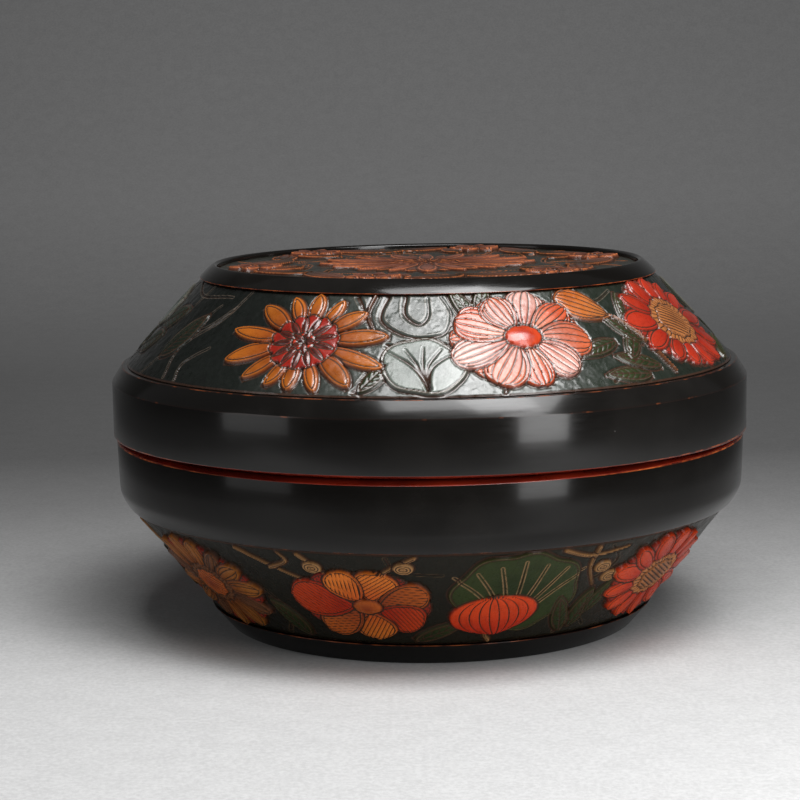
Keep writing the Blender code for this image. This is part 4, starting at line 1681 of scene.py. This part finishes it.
@dataclass(frozen=True)
class Viewpoint:
    """Camera of the photograph: a long lens, a little above the box and turned slightly off its axis."""

    distance: float = 0.84
    elevation: float = 9.07
    aim: float = 0.072
    tilt: float = 0.72
    yaw: float = 0.762
    roll: float = 0.79
    lens: float = 98.55
    sensor: float = 36.0

    def build(self) -> None:
        """Make the camera."""
        rise = math.radians(self.elevation)
        dip = math.radians(self.elevation - self.tilt)
        place = Vector((0.0, -self.distance * math.cos(rise), self.aim + self.distance * math.sin(rise)))
        ahead = Vector((0.0, math.cos(dip), -math.sin(dip)))
        right = Vector((1.0, 0.0, 0.0))
        upright = right.cross(ahead)
        yaw, roll = math.radians(-self.yaw), math.radians(-self.roll)
        facing = ahead * math.cos(yaw) + right * math.sin(yaw)
        right = right * math.cos(yaw) - ahead * math.sin(yaw)
        across = right * math.cos(roll) + upright * math.sin(roll)
        upwards = upright * math.cos(roll) - right * math.sin(roll)
        data = bpy.data.cameras.new("photograph")
        data.lens = self.lens
        data.sensor_width = self.sensor
        camera = bpy.data.objects.new("photograph", data)
        turned = Matrix((across, upwards, -facing)).transposed().to_4x4()
        camera.matrix_world = Matrix.Translation(place) @ turned
        bpy.context.collection.objects.link(camera)
        bpy.context.scene.camera = camera


@dataclass(frozen=True)
class Sweep:
    """Floor that turns up into a backdrop behind the box, with painted light: pale round the box, grey
    behind.
    """

    half_width: float = 2.2
    front: float = -1.6
    bend_start: float = 0.95
    bend_radius: float = 0.8
    top: float = 2.6
    # Grey of the paper by depth: a painted pool of light, pale round the box, grey behind and dark far in
    # front.
    painted_light_greys: tuple[Point, ...] = (
        (-1.00, 0.04), (-0.60, 0.05), (-0.42, 0.12), (-0.32, 0.18), (-0.26, 0.57), (-0.10, 0.53),
        (0.00, 0.42), (0.10, 0.295), (0.22, 0.190), (0.36, 0.112), (0.70, 0.110), (1.40, 0.172),
        (2.40, 0.135))
    # Colour of the painted shade to the sides of the floor.
    painted_side_shade: Colour = (0.05, 0.05, 0.05)
    speckle_waves: float = 520.0
    fleck_waves: float = 90.0
    grain_depth: float = 0.35 * MM

    def build(self) -> None:
        """Make the sweep and its paper finish."""
        bpy.ops.object.select_all(action="DESELECT")
        bpy.ops.mesh.primitive_plane_add(size=1.0, location=(0.0, 0.0, 0.0))
        sweep = bpy.context.object
        sweep.name = sweep.data.name = "studio_sweep"
        sweep.scale = (self.half_width * 2, self.bend_start - self.front, 1.0)
        sweep.location = (0.0, (self.front + self.bend_start) / 2, 0.0)
        bpy.ops.object.transform_apply(location=True, scale=True)
        with editing(sweep):
            select_points(sweep, lambda place: place.y > self.bend_start - MM)
            centre = (0.0, self.bend_start, self.bend_radius)
            bpy.ops.mesh.spin(steps=24, angle=math.pi / 2, center=centre, axis=(-1.0, 0.0, 0.0))
            select_points(sweep, lambda place: place.z > self.bend_radius - MM)
            rise = (0.0, 0.0, self.top - self.bend_radius)
            bpy.ops.mesh.extrude_edges_move(TRANSFORM_OT_translate={"value": rise})
            bpy.ops.mesh.select_all(action="SELECT")
            bpy.ops.mesh.normals_make_consistent(inside=False)
        smooth_shaded(sweep, 60.0)
        sweep.data.materials.append(self._paper())

    def _paper(self) -> bpy.types.Material:
        """Make grainy paper with painted light: pale round the box, grey behind and far in front, darker to
        the sides.

        Returns:
            The finish.
        """
        bench = Bench("studio_paper_painted_light")
        spot = bench.spot()
        x, y, z = bench.parts(spot)
        # The painted pool of light: the paper's grey follows depth and height.
        first, last = self.painted_light_greys[0][0], self.painted_light_greys[-1][0]
        stops = tuple(((depth - first) / (last - first), grey) for depth, grey in self.painted_light_greys)
        share = bench.node("ShaderNodeMapRange", inputs={0: y + z * 0.9, 1: first, 2: last})
        base = bench.node("ShaderNodeValToRGB", {"stops": stops}, {0: share})
        speckle = bench.grain(spot, self.speckle_waves, 2.0, 0.7)
        fleck = speckle * 0.7 + bench.grain(spot, self.fleck_waves, 3.0, 0.6) * 0.3
        colour = bench.mix(fleck.span(0.3, 0.7), (0.90, 0.90, 0.90), (1.08, 1.08, 1.08))
        colour = bench.mix(1.0, base, colour, "MULTIPLY")
        # Painted shade: the floor darkens to the sides, fading out towards the bend.
        painted_side_shade = x.math("ABSOLUTE").span(0.22, 0.42) * y.span(0.9, 0.3)
        bench.set(Base_Color=bench.mix(painted_side_shade * 0.8, colour, self.painted_side_shade))
        bench.set(Roughness=0.95, Specular_IOR_Level=0.2)
        bench.set(Normal=bench.bump(fleck, self.grain_depth, 0.6))
        return bench.material


@dataclass(frozen=True)
class Studio:
    """Sweep, lamps, dim room and camera."""

    room: Colour = (0.065, 0.065, 0.067)
    lamps: tuple[SoftBox, ...] = (
        SoftBox("overhead_box", 26.0, 66.0, 0.99, (0.84, 0.52), 10.0, roll=-20.0),
        SoftBox("core_box", 34.0, 63.0, 1.08, (0.34, 0.56), 3.8),
        SoftBox("right_strip", 34.5, 0.0, 0.47, (0.13, 0.50), 1.15, 0.26, (0.0, 0.0, 0.26)),
        SoftBox("left_box", -57.0, 0.0, 0.60, (0.26, 0.44), 0.34, 0.23, (0.0, 0.0, 0.23)),
        SoftBox("backdrop_box", 180.0, 53.0, 1.16, (1.60, 0.30), 8.0, 0.07, (0.0, 1.60, 0.45)),
    )

    def build(self) -> None:
        """Make the studio."""
        scene = bpy.context.scene
        scene.view_settings.view_transform = "Standard"
        world = bpy.data.worlds.new("dim_room")
        world.use_nodes = True
        world.node_tree.nodes["Background"].inputs["Color"].default_value = (*self.room, 1.0)
        scene.world = world
        for lamp in self.lamps:
            lamp.build()
        Sweep().build()
        Viewpoint().build()


# The box


GROUND_DEPTH = 1.3 * MM
TOP_RELIEF = 2.8 * MM
END_GAP = 0.3 * MM
LID_SEAM, BASE_SEAM = -76.0, -84.0


def sunk_band(name: str, node: str, body: Body, lower: Point, upper: Point, first_seam: float) -> ConeBand:
    """Ground that lies below a cone's side, with a small gap to the ring at each end.

    Args:
        name: Name of the band.
        node: Node that the ground replaces.
        body: Body that it rides on.
        lower: Lower edge of the cone's side.
        upper: Upper edge of the cone's side.
        first_seam: Azimuth in degrees of the first of its three seams.

    Returns:
        The band.
    """
    run, rise = upper[0] - lower[0], upper[1] - lower[1]
    widen = math.hypot(run, rise) / rise * GROUND_DEPTH
    ends = []
    for radius, height, gap in ((*lower, END_GAP), (*upper, -END_GAP)):
        ends.append((radius + gap * run / rise - widen, height + gap))
    return ConeBand(name, node, body, *ends, first_seam)


def main() -> None:
    logging.basicConfig(level=logging.INFO, format="%(message)s")
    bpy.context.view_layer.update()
    Studio().build()
    sides = Sides.read()
    BoxTurnings(sides).build()
    lid_edges, base_edges = (sides.lid_lower, sides.lid_upper), (sides.base_lower, sides.base_upper)
    LidBand(sunk_band("lid", "lid_shoulder_carving", Body.LID, *lid_edges, LID_SEAM)).build()
    BaseBand(sunk_band("base", "base_carving", Body.BASE, *base_edges, BASE_SEAM)).build()
    _, (radius, _, height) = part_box("lid_top_carving")
    TopMedallion(RoundTop("top", "lid_top_carving", Body.LID, radius, height - TOP_RELIEF)).build()


if __name__ == "__main__":
    main()
